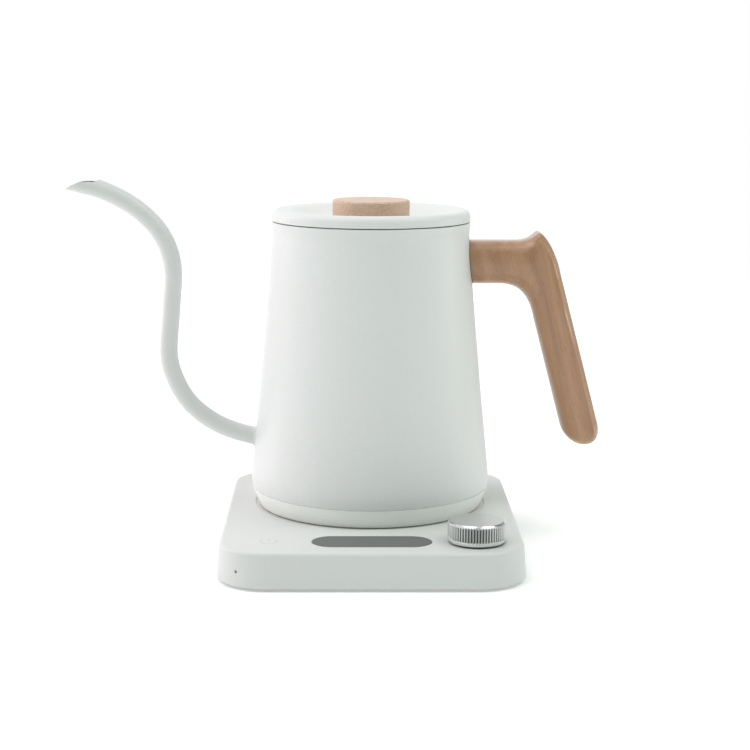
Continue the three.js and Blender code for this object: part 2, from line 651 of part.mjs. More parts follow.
function bodyShell() {
  const shell = turned([
    ...sidePoints(0, BODY_BOTTOM, LIP_START, 8),
    [LIP_RADIUS - 0.3 * LIP_FLARE, LIP_START + 0.5 * LIP_HEIGHT],
    [LIP_RADIUS, BODY_TOP - 0.8],
    [LIP_RADIUS - 0.5, BODY_TOP],
    [MOUTH_RADIUS + 0.6, BODY_TOP],
    [MOUTH_RADIUS, BODY_TOP - 0.6],
    [MOUTH_RADIUS, BODY_TOP - COLLAR_DEPTH],
    [MOUTH_RADIUS + BODY_WALL, BODY_TOP - COLLAR_DEPTH],
    [MOUTH_RADIUS + BODY_WALL, BODY_TOP - BODY_WALL],
    [LIP_RADIUS - BODY_WALL, BODY_TOP - BODY_WALL],
    ...sidePoints(-BODY_WALL, BODY_BOTTOM, LIP_START, 4).reverse(),
  ]);
  const waterway = new THREE.CylinderGeometry(
    SPOUT_RADIUS - SPOUT_WALL,
    SPOUT_RADIUS - SPOUT_WALL,
    24,
    PIN_SIDES,
  );
  const [[reach1, rise1], [reach2, rise2]] = SPOUT_FOOT;
  waterway.rotateZ(Math.PI / 2).rotateY(Math.atan2(rise2 - rise1, reach2 - reach1));
  return cut(shell, at(waterway, -bodyRadius(SPOUT_LEVEL), 0, SPOUT_LEVEL));
}

function heaterPlate() {
  const top = PLATE_BOTTOM + PLATE_THICKNESS;
  const rim = bodyRadius(top) - BODY_WALL - GAP;
  const skirt = BODY_BOTTOM + 1;
  const plate = turned([
    [0, PLATE_BOTTOM],
    [rim - PLATE_THICKNESS, PLATE_BOTTOM],
    [rim - PLATE_THICKNESS, skirt],
    [rim, skirt],
    [rim, top],
    [0, top],
  ]);
  const probeHole = hole(PROBE.radius + GAP, PLATE_BOTTOM - 1, top + 1, PIN_SIDES);
  return cut(plate, at(probeHole, PROBE.x, PROBE.y));
}

function temperatureProbe() {
  return turned([
    [0, PLATE_BOTTOM - 5.6],
    [PROBE.radius + 1.6, PLATE_BOTTOM - 5.6],
    [PROBE.radius + 1.6, PLATE_BOTTOM - 2.6],
    [PROBE.radius, PLATE_BOTTOM - 2.6],
    [PROBE.radius, PLATE_BOTTOM + 8],
    [0.6 * PROBE.radius, PLATE_BOTTOM + 9.6],
    [0, PLATE_BOTTOM + 10],
  ], PIN_SIDES);
}

function heatingElement() {
  const section = new THREE.Shape().absarc(0, 0, ELEMENT_TUBE, 0, 2 * Math.PI);
  const level = SPREADER_BOTTOM - GAP - ELEMENT_TUBE;
  const steps = 28;
  const start = THREE.MathUtils.degToRad(25);
  const sweep = THREE.MathUtils.degToRad(310);
  const points = Array.from({ length: steps + 1 }, (_, i) => {
    const angle = start + (sweep * i) / steps;
    return new THREE.Vector3(ELEMENT_RADIUS * Math.cos(angle), ELEMENT_RADIUS * Math.sin(angle), level);
  });
  const path = new THREE.CatmullRomCurve3(points);
  return new THREE.ExtrudeGeometry(section, { steps, curveSegments: 4, extrudePath: path });
}

function footRing() {
  const middle = COUPLER_RADIUS + COUPLER_GAP + COUPLER_WALL + 2 * GAP;
  const bulge = FOOT_RING_RADIUS - FOOT_RING_TOE;
  const outside = [0, 0.25, 0.5, 0.75, 1].map((t) => [
    FOOT_RING_TOE + bulge * Math.sin((t * Math.PI) / 2),
    KETTLE_FOOT + FOOT_RING_HEIGHT * (1 - Math.cos((t * Math.PI) / 2)) ** 0.9,
  ]);
  const shell = turned([
    [middle, KETTLE_FOOT],
    ...outside,
    [FOOT_RING_RADIUS - FOOT_RING_WALL, FOOT_RING_TOP],
    [FOOT_RING_RADIUS - FOOT_RING_WALL - 1.5, FOOT_RING_FLOOR + 2.5],
    [FOOT_RING_TOE - FOOT_RING_WALL, FOOT_RING_FLOOR],
    [middle, FOOT_RING_FLOOR],
  ]);
  const head = hole(SCREW_HEAD.radius + GAP, KETTLE_FOOT - 1, KETTLE_FOOT + 1.2, PIN_SIDES);
  const shank = hole(SHANK_RADIUS + GAP, KETTLE_FOOT, FOOT_RING_FLOOR + 1, PIN_SIDES);
  const holes = STUDS.flatMap(([x, y]) => [at(head, x, y), at(shank, x, y)]);
  return cut(shell, ...holes);
}

function coverStud() {
  return turned([
    [0, PLATE_BOTTOM - GAP],
    [STUD_RADIUS, PLATE_BOTTOM - GAP],
    [STUD_RADIUS, FOOT_RING_FLOOR + GAP],
    [SHANK_RADIUS + GAP, FOOT_RING_FLOOR + GAP],
    [SHANK_RADIUS + GAP, PLATE_BOTTOM - 4],
    [0, PLATE_BOTTOM - 4],
  ], PIN_SIDES);
}

// ---------------------------------------------------------------- cordless coupler, kettle half

function kettleCoupler() {
  const outside = CUP_BORE + COUPLER_WALL;
  const flange = FOOT_RING_FLOOR + GAP;
  return turned([
    [0, CUP_CEILING],
    [CUP_BORE, CUP_CEILING],
    [CUP_BORE, KETTLE_FOOT + 0.4],
    [outside, KETTLE_FOOT + 0.4],
    [outside, flange],
    [outside + 3.4, flange],
    [outside + 3.4, flange + 2],
    [outside, flange + 2],
    [outside, CUP_TOP],
    [0, CUP_TOP],
  ], 24);
}

function coupler() {
  const group = new THREE.Group();
  const top = CUP_CEILING - GAP;
  piece(group, "kettle_coupler", kettleCoupler(), "darkPlastic");
  piece(group, "coupler_pin", disc(CONTACT_HOLE - 0.5, CONTACT_FLOOR - 1, top, PIN_SIDES), "brass");
  CONTACT_RINGS.forEach(({ outer }, i) => {
    const contact = ring(outer - 1.2, outer - 0.6, CONTACT_FLOOR + 1.2, top);
    piece(group, `coupler_ring_${i + 1}`, contact, "brass");
  });
  return group;
}

// ---------------------------------------------------------------- gooseneck spout

// The lower bend of the spout's centre line: [reach past the body's side, height above its root].
const SPOUT_FOOT = [
  [-6.4, -1.6],
  [8.6, 1.9],
  [19.1, 5.9],
  [28.1, 11.5],
  [36.1, 19],
  [42.6, 30],
  [46.3, 43],
];

// The upper bend: [reach past the body's side at the root, height above the top of the body].
const SPOUT_NECK = [
  [44.7, -47],
  [43.5, -28],
  [45.4, -16.5],
  [49.9, -6.7],
  [57, 1.6],
  [65.2, 8.2],
  [74, 13.2],
  [83.7, 17.1],
  [92.6, 19.1],
  [102.6, 20.4],
];
const SPOUT_STEPS = 32;

// The open beak: everything above this line, given like the upper bend, is cut away.
const BEAK_LINE = [
  [81, 23.6],
  [84.2, 20.4],
  [88, 20.6],
  [91.8, 20.1],
  [95.8, 18.7],
  [99.3, 16.4],
  [101, 14.4],
];

function spoutTube() {
  const side = bodyRadius(SPOUT_LEVEL);
  const foot = SPOUT_FOOT.map(([reach, z]) => new THREE.Vector3(-side - reach, 0, SPOUT_LEVEL + z));
  const neck = SPOUT_NECK.map(([reach, z]) => new THREE.Vector3(-side - reach, 0, BODY_TOP + z));
  const section = new THREE.Shape().absarc(0, 0, SPOUT_RADIUS, 0, 2 * Math.PI);
  section.holes.push(new THREE.Path().absarc(0, 0, SPOUT_RADIUS - SPOUT_WALL, 0, 2 * Math.PI));
  const path = new THREE.CatmullRomCurve3([...foot, ...neck], false, "centripetal");
  const settings = { steps: SPOUT_STEPS, curveSegments: 6, extrudePath: path };
  const pipe = new THREE.ExtrudeGeometry(section, settings);
  const [[firstReach, firstRise]] = BEAK_LINE;
  const [lastReach, lastRise] = BEAK_LINE[BEAK_LINE.length - 1];
  const [end, ceiling] = [lastReach + 12, firstRise + 10];
  const above = [...BEAK_LINE, [end, lastRise], [end, ceiling], [firstReach, ceiling]];
  const beak = new THREE.Shape(above.map(([reach, z]) => new THREE.Vector2(-side - reach, BODY_TOP + z)));
  const wide = 4 * SPOUT_RADIUS;
  const cutter = new THREE.ExtrudeGeometry(beak, { depth: wide, bevelEnabled: false });
  cutter.rotateX(Math.PI / 2).translate(0, wide / 2, 0);
  return cut(pipe, bodySpace(GAP), cutter);
}

// ---------------------------------------------------------------- wooden handle

// The handle's side view: X from the body's side at the arm, Z from the top of the arm.
function handleOutline() {
  const shape = new THREE.Shape();
  shape.moveTo(-8.6, 0);
  shape.lineTo(24.4, 0);
  shape.bezierCurveTo(30.4, 0.4, 32.8, 2.4, 35.9, 4.8);
  shape.bezierCurveTo(40.9, 2.4, 45.4, -8.1, 47.4, -16.4);
  shape.lineTo(68.9, -96.9);
  shape.bezierCurveTo(71.4, -105.1, 70, -110.5, 62.4, -110.5);
  shape.bezierCurveTo(56.9, -110.5, 51.2, -106.6, 49.4, -98.7);
  shape.lineTo(34, -40.8);
  shape.bezierCurveTo(31.6, -29.6, 25.9, -ARM_HEIGHT - 0.4, 16.4, -ARM_HEIGHT);
  shape.lineTo(-8.6, -ARM_HEIGHT);
  return shape;
}

// Where the tang and its two screws sit in the arm, from the body's side outwards.
function tangPlace() {
  const z = (ARM_TOP + ARM_BOTTOM) / 2;
  const side = bodyRadius(z);
  const first = bodyRadius(ARM_BOTTOM) + GASKET + 2 * GAP + SCREW_HEAD.radius;
  const screws = [first, first + HANDLE_SCREW_PITCH];
  const headTop = z - TANG / 2 - TANG_SKIN - GAP;
  return { z, side, screws, headTop, start: side - TANG / 2, end: screws[1] + TANG_END };
}

function tangBlock(grown) {
  const { z, start, end } = tangPlace();
  const width = TANG + 2 * grown;
  return at(new THREE.BoxGeometry(end + grown - start, width, width), (start + end + grown) / 2, 0, z);
}

function handleGrip() {
  const settings = {
    depth: HANDLE_WIDTH - 2 * HANDLE_BEVEL,
    bevelThickness: HANDLE_BEVEL,
    bevelSize: HANDLE_BEVEL,
    bevelOffset: -HANDLE_BEVEL,
    bevelSegments: 3,
    curveSegments: 5,
  };
  const { z, side, screws, headTop } = tangPlace();
  const wood = new THREE.ExtrudeGeometry(handleOutline(), settings);
  wood.translate(side, ARM_TOP, -settings.depth / 2).rotateX(Math.PI / 2);
  const head = hole(SCREW_HEAD.radius + GAP, ARM_BOTTOM - 2, headTop + GAP, PIN_SIDES);
  const shank = hole(SHANK_RADIUS + GAP, ARM_BOTTOM, z, PIN_SIDES);
  const holes = screws.flatMap((x) => [at(head, x, 0), at(shank, x, 0)]);
  return cut(wood, bodySpace(GASKET + 2 * GAP), tangBlock(GAP), ...holes);
}

function handleGasket() {
  const { z, side } = tangPlace();
  const patch = at(new THREE.BoxGeometry(24, HANDLE_WIDTH - 2, ARM_HEIGHT - 2), side, 0, z);
  return cut(common(patch, bodySpace(GASKET + GAP)), bodySpace(GAP), tangBlock(GAP));
}

function handleBracket() {
  const { z, screws } = tangPlace();
  const shank = hole(SHANK_RADIUS + GAP, z - TANG, z + TANG / 4, PIN_SIDES);
  return cut(tangBlock(0), bodySpace(GAP), ...screws.map((x) => at(shank, x, 0)));
}

function kettleBody() {
  const group = new THREE.Group();
  piece(group, "body_shell", bodyShell(), "whiteCoat");
  piece(group, "heater_plate", heaterPlate(), "steel");
  const spreaderTop = PLATE_BOTTOM - GAP;
  const spreader = ring(SPREADER_INSIDE, SPREADER_OUTSIDE, SPREADER_BOTTOM, spreaderTop, 24);
  piece(group, "heat_spreader", spreader, "aluminium");
  piece(group, "heating_element", heatingElement(), "steel");
  piece(group, "temperature_probe", temperatureProbe(), "steel", PROBE.x, PROBE.y);
  const sealOutside = PROBE.radius + PROBE_SEAL_WALL;
  const seal = ring(PROBE.radius + GAP, sealOutside, PLATE_BOTTOM - 2.3, PLATE_BOTTOM - GAP);
  piece(group, "probe_seal", seal, "clearSilicone", PROBE.x, PROBE.y);
  const cutout = block(18, 20, CUP_TOP + GAP, PLATE_BOTTOM - GAP);
  piece(group, "thermal_cutout", cutout, "darkPlastic", -9);
  piece(group, "foot_ring", footRing(), "whitePlastic");
  const shankTop = PLATE_BOTTOM - 5;
  const ringScrew = screw(SCREW_HEAD.radius, 1, SHANK_RADIUS, KETTLE_FOOT + 0.1, shankTop);
  STUDS.forEach(([x, y], i) => {
    piece(group, `cover_stud_${i + 1}`, coverStud(), "steel", x, y);
    piece(group, `foot_ring_screw_${i + 1}`, ringScrew, "steel", x, y);
  });
  piece(group, "spout_tube", spoutTube(), "whiteCoat");
  piece(group, "handle_grip", handleGrip(), "wood");
  piece(group, "handle_bracket", handleBracket(), "steel");
  piece(group, "handle_gasket", handleGasket(), "silicone");
  const { z: tangLevel, screws, headTop } = tangPlace();
  const headBottom = headTop - SCREW_HEAD.height;
  const tip = tangLevel + TANG / 4 - GAP;
  const gripScrew = screw(SCREW_HEAD.radius, SCREW_HEAD.height, SHANK_RADIUS, headBottom, tip);
  screws.forEach((x, i) => {
    piece(group, `handle_screw_${i + 1}`, gripScrew, "steel", x);
  });
  return group;
}

// ---------------------------------------------------------------- lid

function lidShell() {
  const shoulder = [
    [LIP_RADIUS, LID_BOTTOM],
    [LIP_RADIUS - 0.3, LID_BOTTOM + 0.32 * LID_HEIGHT],
    [LIP_RADIUS - 0.9, LID_BOTTOM + 0.57 * LID_HEIGHT],
    [LIP_RADIUS - 1.6, LID_BOTTOM + 0.8 * LID_HEIGHT],
    [LIP_RADIUS - 2.6, LID_BOTTOM + 0.95 * LID_HEIGHT],
    [LIP_RADIUS - 3.9, LID_CREST],
  ];
  const [bowlOutside, bowlInside] = [LIP_RADIUS - 6.5, LID_DISH_RADIUS + 4];
  const bowl = [
    [bowlOutside, LID_CREST - 0.08 * LID_DISH],
    [(bowlOutside + bowlInside) / 2, LID_CREST - 0.5 * LID_DISH],
    [bowlInside, DISH_FLOOR + 0.1 * LID_DISH],
    [LID_DISH_RADIUS, DISH_FLOOR],
  ];
  const shell = turned([
    [0, DISH_FLOOR - LID_WALL],
    [LID_DISH_RADIUS, DISH_FLOOR - LID_WALL],
    ...bowl.slice(0, 3).reverse().map(([r, z]) => [r, z - LID_WALL]),
    [LIP_RADIUS - 3.9, LID_CREST - LID_WALL],
    [LIP_RADIUS - LID_WALL - 1, LID_BOTTOM + 0.6 * LID_HEIGHT],
    [LIP_RADIUS - LID_WALL, LID_BOTTOM],
    ...shoulder,
    ...bowl,
    [0, DISH_FLOOR],
  ]);
  return cut(shell, hole(SHANK_RADIUS + GAP, DISH_FLOOR - 3, DISH_FLOOR + 1, PIN_SIDES));
}

// The inner cover plugs into the mouth and carries the seal.
function lidInner() {
  const radius = MOUTH_RADIUS - LID_PLUG_GAP;
  const bottom = BODY_TOP - LID_PLUG_DEPTH;
  const flange = BODY_TOP + GAP;
  const wall = LID_WALL + 0.2;
  const cup = turned([
    [0, bottom],
    [radius - 1, bottom],
    [radius, bottom + 1],
    [radius, flange],
    [LIP_RADIUS - LID_WALL - GAP - 0.4, flange],
    [LIP_RADIUS - LID_WALL - GAP - 0.4, flange + 0.9],
    [radius - wall, flange + 0.9],
    [radius - wall, bottom + wall],
    [0, bottom + wall],
  ]);
  const vents = [-1, 0, 1].map((i) => at(disc(1.6, bottom - 1, bottom + 3, 8), 0, 9 * i - 22));
  return cut(cup, ...vents);
}

function lidSeal() {
  const inner = MOUTH_RADIUS - LID_PLUG_GAP + GAP;
  const outer = MOUTH_RADIUS - GAP;
  const bottom = BODY_TOP - LID_PLUG_DEPTH + 3.4;
  return turned([
    [inner, bottom],
    [outer - 0.2, bottom],
    [outer, bottom + SEAL_HEIGHT / 2],
    [outer - 0.2, bottom + SEAL_HEIGHT],
    [inner, bottom + SEAL_HEIGHT],
  ]);
}

function lidKnob() {
  const bottom = DISH_FLOOR + GAP;
  const top = bottom + KNOB_HEIGHT;
  const rounding = [0, 1, 2, 3].map((i) => {
    const angle = (i * Math.PI) / 6;
    const inset = KNOB_ROUNDING * (1 - Math.cos(angle));
    return [KNOB_RADIUS - inset, top - KNOB_ROUNDING * (1 - Math.sin(angle))];
  });
  return turned([
    [0, top - KNOB_SKIN],
    [INSERT_RADIUS + GAP, top - KNOB_SKIN],
    [INSERT_RADIUS + GAP, bottom],
    [KNOB_RADIUS - 1, bottom],
    [KNOB_RADIUS, bottom + 1],
    ...rounding,
    [0, top],
  ], 32);
}

function lid() {
  const group = new THREE.Group();
  piece(group, "lid_shell", lidShell(), "whiteCoat");
  piece(group, "lid_inner", lidInner(), "whitePlastic");
  piece(group, "lid_seal", lidSeal(), "clearSilicone");
  piece(group, "lid_knob", lidKnob(), "wood");
  const knobBottom = DISH_FLOOR + GAP;
  const boreTop = knobBottom + KNOB_HEIGHT - KNOB_SKIN;
  const insert = ring(SHANK_RADIUS + GAP, INSERT_RADIUS, knobBottom + 0.2, boreTop - GAP);
  piece(group, "knob_insert", insert, "brass");
  const headTop = DISH_FLOOR - LID_WALL - GAP;
  const knobScrew = screw(SCREW_HEAD.radius, 2, SHANK_RADIUS, headTop - 2, boreTop - 0.8);
  piece(group, "knob_screw", knobScrew, "steel");
  return group;
}

// ---------------------------------------------------------------- the whole object

function assembly() {
  const kettle = new THREE.Group();
  kettle.position.y = KETTLE_Y;
  kettle.add(coupler(), kettleBody(), lid());
  const controls = dial();
  controls.position.set(DIAL_X, CONTROL_Y, 0);
  const whole = new THREE.Group();
  whole.add(base(), controls, kettle);
  const room = new THREE.Box3().setFromObject(whole);
  const middle = room.getCenter(new THREE.Vector3());
  whole.position.set(-middle.x, -middle.y, -room.min.z);
  const root = new THREE.Group();
  root.add(whole);
  return root;
}

const group = assembly();

export default group;
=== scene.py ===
# %% [markdown]
# # A cordless gooseneck kettle on its heating base
#
# The kettle is a thin steel body under white powder coat, with a long thin pouring spout, a beech grip and
# a beech lid knob. It stands on a moulded base that holds a touch key, a smoked display and a knurled
# metal dial. The mechanical model fixes every place and size; this lesson builds the surfaces that a
# person sees, and reads each place from that model. Distances are in metres, and MM turns millimetres
# into metres.

import json
import math

import bmesh
import bpy
import numpy as np
from mathutils import Matrix, Vector

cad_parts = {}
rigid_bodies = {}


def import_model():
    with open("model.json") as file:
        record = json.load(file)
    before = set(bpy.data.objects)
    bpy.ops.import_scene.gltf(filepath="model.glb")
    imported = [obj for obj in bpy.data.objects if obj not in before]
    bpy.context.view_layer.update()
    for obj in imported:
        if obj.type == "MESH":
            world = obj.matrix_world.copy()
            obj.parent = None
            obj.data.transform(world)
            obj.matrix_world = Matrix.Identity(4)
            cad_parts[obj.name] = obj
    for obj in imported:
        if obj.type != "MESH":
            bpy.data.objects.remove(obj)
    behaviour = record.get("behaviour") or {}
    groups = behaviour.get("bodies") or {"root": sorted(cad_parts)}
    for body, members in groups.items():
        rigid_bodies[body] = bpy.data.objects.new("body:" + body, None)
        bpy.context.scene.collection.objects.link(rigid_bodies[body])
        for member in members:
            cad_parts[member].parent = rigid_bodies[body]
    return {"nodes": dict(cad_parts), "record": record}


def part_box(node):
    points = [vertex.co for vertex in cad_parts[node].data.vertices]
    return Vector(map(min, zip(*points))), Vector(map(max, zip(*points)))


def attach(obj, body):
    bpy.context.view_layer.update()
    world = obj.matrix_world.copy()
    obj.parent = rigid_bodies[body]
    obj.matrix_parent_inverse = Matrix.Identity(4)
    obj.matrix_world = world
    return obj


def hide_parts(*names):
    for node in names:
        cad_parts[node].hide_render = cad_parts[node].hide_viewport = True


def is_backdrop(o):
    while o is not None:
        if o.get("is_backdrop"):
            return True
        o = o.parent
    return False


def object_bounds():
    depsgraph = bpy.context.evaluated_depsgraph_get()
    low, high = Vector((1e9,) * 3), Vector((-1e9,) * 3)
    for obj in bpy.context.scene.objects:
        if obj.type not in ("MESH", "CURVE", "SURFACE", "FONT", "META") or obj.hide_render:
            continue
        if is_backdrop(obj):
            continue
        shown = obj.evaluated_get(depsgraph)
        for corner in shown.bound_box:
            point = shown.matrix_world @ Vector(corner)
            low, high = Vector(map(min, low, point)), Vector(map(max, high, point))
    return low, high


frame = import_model()
cad_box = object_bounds()
MM = 0.001

# %% [markdown]
# ## Places that everything else is measured from
#
# Turned pieces share three upright axes: the kettle's, the dial's and each foot's or screw's own. A node's
# box gives its axis as the middle and its levels as the bottom and the top. Reading them keeps the looks
# in step with the mechanical model, where typing them in again would let the two drift apart.

# %% Axes and levels
def middle(node):
    low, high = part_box(node)
    return (low + high) / 2


def levels(node):
    low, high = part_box(node)
    return low.z, high.z


KETTLE = middle("body_shell").xy
DIAL = middle("control_dial").xy
BODY_BOTTOM, BODY_TOP = levels("body_shell")
BASE_BOTTOM, BASE_TOP = levels("base_top_cover")
print("kettle axis", tuple(KETTLE), "dial axis", tuple(DIAL))

# %% [markdown]
# ## Camera
#
# A long lens a little under a metre away keeps the sides of the kettle nearly parallel, as in a catalogue
# picture. The camera looks ten degrees down, so that the top of the base and the dish of the lid show.
# It is placed from the kettle's axis and turned by its pitch, yaw and roll.

# %% Place the camera
LENS = 82.3
PITCH, YAW, ROLL = (math.radians(angle) for angle in (10.03, 0.92, 0.28))
stand = Vector((KETTLE.x - 0.0122, KETTLE.y - 0.9157, 0.2506))
turn_down = Matrix.Rotation(math.pi / 2 - PITCH, 4, "X")
turn_round = Matrix.Rotation(-YAW, 4, "Z")
tip = Matrix.Rotation(ROLL, 4, "Z")
camera = bpy.data.objects.new("camera", bpy.data.cameras.new("camera"))
camera.data.lens = LENS
camera.data.sensor_width = 36
camera.matrix_world = Matrix.Translation(stand) @ turn_round @ turn_down @ tip
bpy.context.scene.collection.objects.link(camera)
bpy.context.scene.camera = camera
print("camera stands", round((stand - Vector((KETTLE.x, KETTLE.y, 0.1))).length, 3), "m from the kettle")

# %% [markdown]
# ## Shader arithmetic
#
# A finish varies over its surface by small sums: a grain plus a cloud, one minus a mask. Wiring Math nodes
# by hand hides such a sum, so a Wire stands for one value in the shader and Python's operators add the
# Math nodes. Every other node comes from one method of Finish, which sets the node's settings first and
# then fills its sockets with numbers or links.

# %% Wire
class Wire:
    """One value on its way through a shader."""

    def __init__(self, finish, socket):
        self.finish = finish
        self.socket = socket

    def __add__(self, other):
        return self.finish.math("ADD", self, other)

    def __radd__(self, other):
        return self.finish.math("ADD", other, self)

    def __sub__(self, other):
        return self.finish.math("SUBTRACT", self, other)

    def __rsub__(self, other):
        return self.finish.math("SUBTRACT", other, self)

    def __mul__(self, other):
        return self.finish.math("MULTIPLY", self, other)

    def __rmul__(self, other):
        return self.finish.math("MULTIPLY", other, self)


print("arithmetic on wires ready")

# %% Finish
class Finish:
    """A material, or the world around the scene, being built node by node."""

    def __init__(self, name, world=None):
        self.home = world or bpy.data.materials.new(name)
        self.home.use_nodes = True
        self.tree = self.home.node_tree
        self.tree.nodes.clear()
        self.place = self.node("ShaderNodeTexCoord", output="Generated" if world else "Object")

    def node(self, kind, settings=None, sockets=None, output=0):
        made = self.tree.nodes.new(kind)
        for key, value in (settings or {}).items():
            if key == "stops":
                self.set_stops(made.color_ramp, value)
            else:
                setattr(made, key, value)
        for key, value in (sockets or {}).items():
            if isinstance(value, Wire):
                self.tree.links.new(value.socket, made.inputs[key])
            else:
                made.inputs[key].default_value = value
        return Wire(self, made.outputs[output]) if len(made.outputs) else None

    @staticmethod
    def set_stops(ramp, stops):
        while len(ramp.elements) < len(stops):
            ramp.elements.new(1)
        for element, (position, colour) in zip(ramp.elements, stops):
            element.position = position
            element.color = colour

    def math(self, operation, first, second=0.0, third=0.0):
        values = {0: first, 1: second, 2: third}
        return self.node("ShaderNodeMath", {"operation": operation}, values)

    def step(self, value, low, high):
        """0 below low, 1 above high, and a smooth rise between."""
        sockets = {"Value": value, "From Min": low, "From Max": high}
        return self.node("ShaderNodeMapRange", {"interpolation_type": "SMOOTHSTEP"}, sockets)

    def noise(self, size, place=None, detail=2.0, roughness=0.5, distortion=0.0):
        """Clouds about size across, from 0 to 1."""
        sockets = {
            "Vector": place or self.place,
            "Scale": 1 / size,
            "Detail": detail,
            "Roughness": roughness,
            "Distortion": distortion,
        }
        return self.node("ShaderNodeTexNoise", None, sockets)

    def stretched(self, scale, turn=(0, 0, 0), shift=(0, 0, 0)):
        """The place turned, then scaled along its own axes."""
        turned = self.node("ShaderNodeVectorRotate", {"rotation_type": "EULER_XYZ"},
                           {"Vector": self.place, "Rotation": turn})
        moved = self.node("ShaderNodeVectorMath", {"operation": "ADD"}, {0: turned, 1: shift})
        return self.node("ShaderNodeVectorMath", {"operation": "MULTIPLY"}, {0: moved, 1: scale})

    def split(self, vector):
        sockets = {"Vector": vector}
        return [self.node("ShaderNodeSeparateXYZ", None, sockets, output) for output in ("X", "Y", "Z")]

    def away_from(self, axis):
        """The distance from an upright axis."""
        x, y, _ = self.split(self.place)
        return self.math("POWER", (x - axis.x) * (x - axis.x) + (y - axis.y) * (y - axis.y), 0.5)

    def mix(self, factor, first, second):
        """A colour between two colours."""
        return self.node("ShaderNodeMix", {"data_type": "RGBA"}, {0: factor, 6: first, 7: second}, 2)

    def bump(self, height, depth, strength=1.0, under=None):
        """A normal bent by height, where 1 stands depth metres proud."""
        sockets = {"Height": height, "Distance": depth, "Strength": strength}
        if under:
            sockets["Normal"] = under
        return self.node("ShaderNodeBump", None, sockets)

    def surface(self, **sockets):
        """Ends the material in one Principled shader."""
        named = {key.replace("_", " "): value for key, value in sockets.items()}
        shader = self.node("ShaderNodeBsdfPrincipled", None, named)
        self.node("ShaderNodeOutputMaterial", None, {"Surface": shader})
        return self.home


def colour(red, green, blue):
    return (red, green, blue, 1.0)


print("finish helpers ready")

# %% [markdown]
# ## Baked powder coat
#
# The body, the spout and the lid are steel with a baked polyester powder. The powder melts into a skin
# with a very fine orange peel: satin, and speckled when light rakes over it. An image wrapped round the
# body would fix the light into the surface, so three sizes of noise make it instead: clouds in the tint,
# peel in the bump and speckle in both. The tints are given each time, because the spout takes a greyer
# copy of the body's coat: painted shade on the thin tube.

# %% White powder coat
COAT_WARM = colour(0.76, 0.75, 0.745)
COAT_COOL = colour(0.73, 0.75, 0.74)
COAT_DUST = colour(0.67, 0.68, 0.675)
PEEL_DEPTH = 0.045 * MM


def powder_coat(name, warm, cool):
    finish = Finish(name)
    cloud = finish.noise(45 * MM)
    speckle = finish.noise(0.55 * MM, detail=3, roughness=0.7)
    peel = finish.noise(1.3 * MM, detail=1)
    tint = finish.mix(cloud, warm, cool)
    speckled = finish.mix(finish.step(speckle, 0.35, 0.7) * 0.5, tint, COAT_DUST)
    normal = finish.bump(speckle * 0.6 + peel, PEEL_DEPTH)
    return finish.surface(Base_Color=speckled, Roughness=0.36 + 0.12 * speckle, Normal=normal)


print("powder coat ready")

# %% [markdown]
# ## Moulded plastic
#
# The base, its bottom cover and the foot ring are moulded in a white plastic with a spark-eroded texture:
# finer than the powder coat and a touch less glossy. Dark moulded plastic, for the couplers and the cord
# inlet, uses the same recipe with its own tint, so one function makes both. On the base a warm tint is
# painted in a thin line along the edge of the kettle's seat, and faintly over the seat's floor under the
# kettle, where it is painted shade. It is a mask laid over the plain plastic by the distance from the
# kettle's axis.

# %% White and dark plastic
PLASTIC_LIGHT = colour(0.68, 0.68, 0.67)
PLASTIC_DARK = colour(0.65, 0.665, 0.65)
SEAT_LINE_AND_SHADE_TINT = colour(0.6, 0.45, 0.27)
SEAT_RADIUS = 62.5 * MM


def seat_line_and_painted_shade(finish):
    """A warm tint: strong in a thin line along the seat's edge, faint over the seat's floor as painted
    shade.
    """
    away = finish.away_from(KETTLE)
    begins = finish.step(away, SEAT_RADIUS - 0.8 * MM, SEAT_RADIUS - 0.2 * MM)
    ends = 1 - finish.step(away, SEAT_RADIUS, SEAT_RADIUS + 0.3 * MM)
    # Painted shade: the faint part lies over the seat's floor, under the kettle.
    under = 1 - finish.step(away, SEAT_RADIUS - 2.9 * MM, SEAT_RADIUS - 1.7 * MM)
    return 0.45 * begins * ends + 0.2 * under


def moulded(name, light=PLASTIC_LIGHT, dark=PLASTIC_DARK, rough=0.4, seat_line_and_shade=False):
    finish = Finish(name)
    cloud = finish.noise(60 * MM)
    grain = finish.noise(0.4 * MM, detail=2, roughness=0.65)
    tint = finish.mix(cloud * 0.5 + grain * 0.5, light, dark)
    if seat_line_and_shade:
        tint = finish.mix(seat_line_and_painted_shade(finish) * (0.6 + 0.4 * cloud), tint, SEAT_LINE_AND_SHADE_TINT)
    normal = finish.bump(grain, 0.02 * MM)
    return finish.surface(Base_Color=tint, Roughness=rough + 0.14 * grain, Normal=normal)


print("moulded plastics ready")
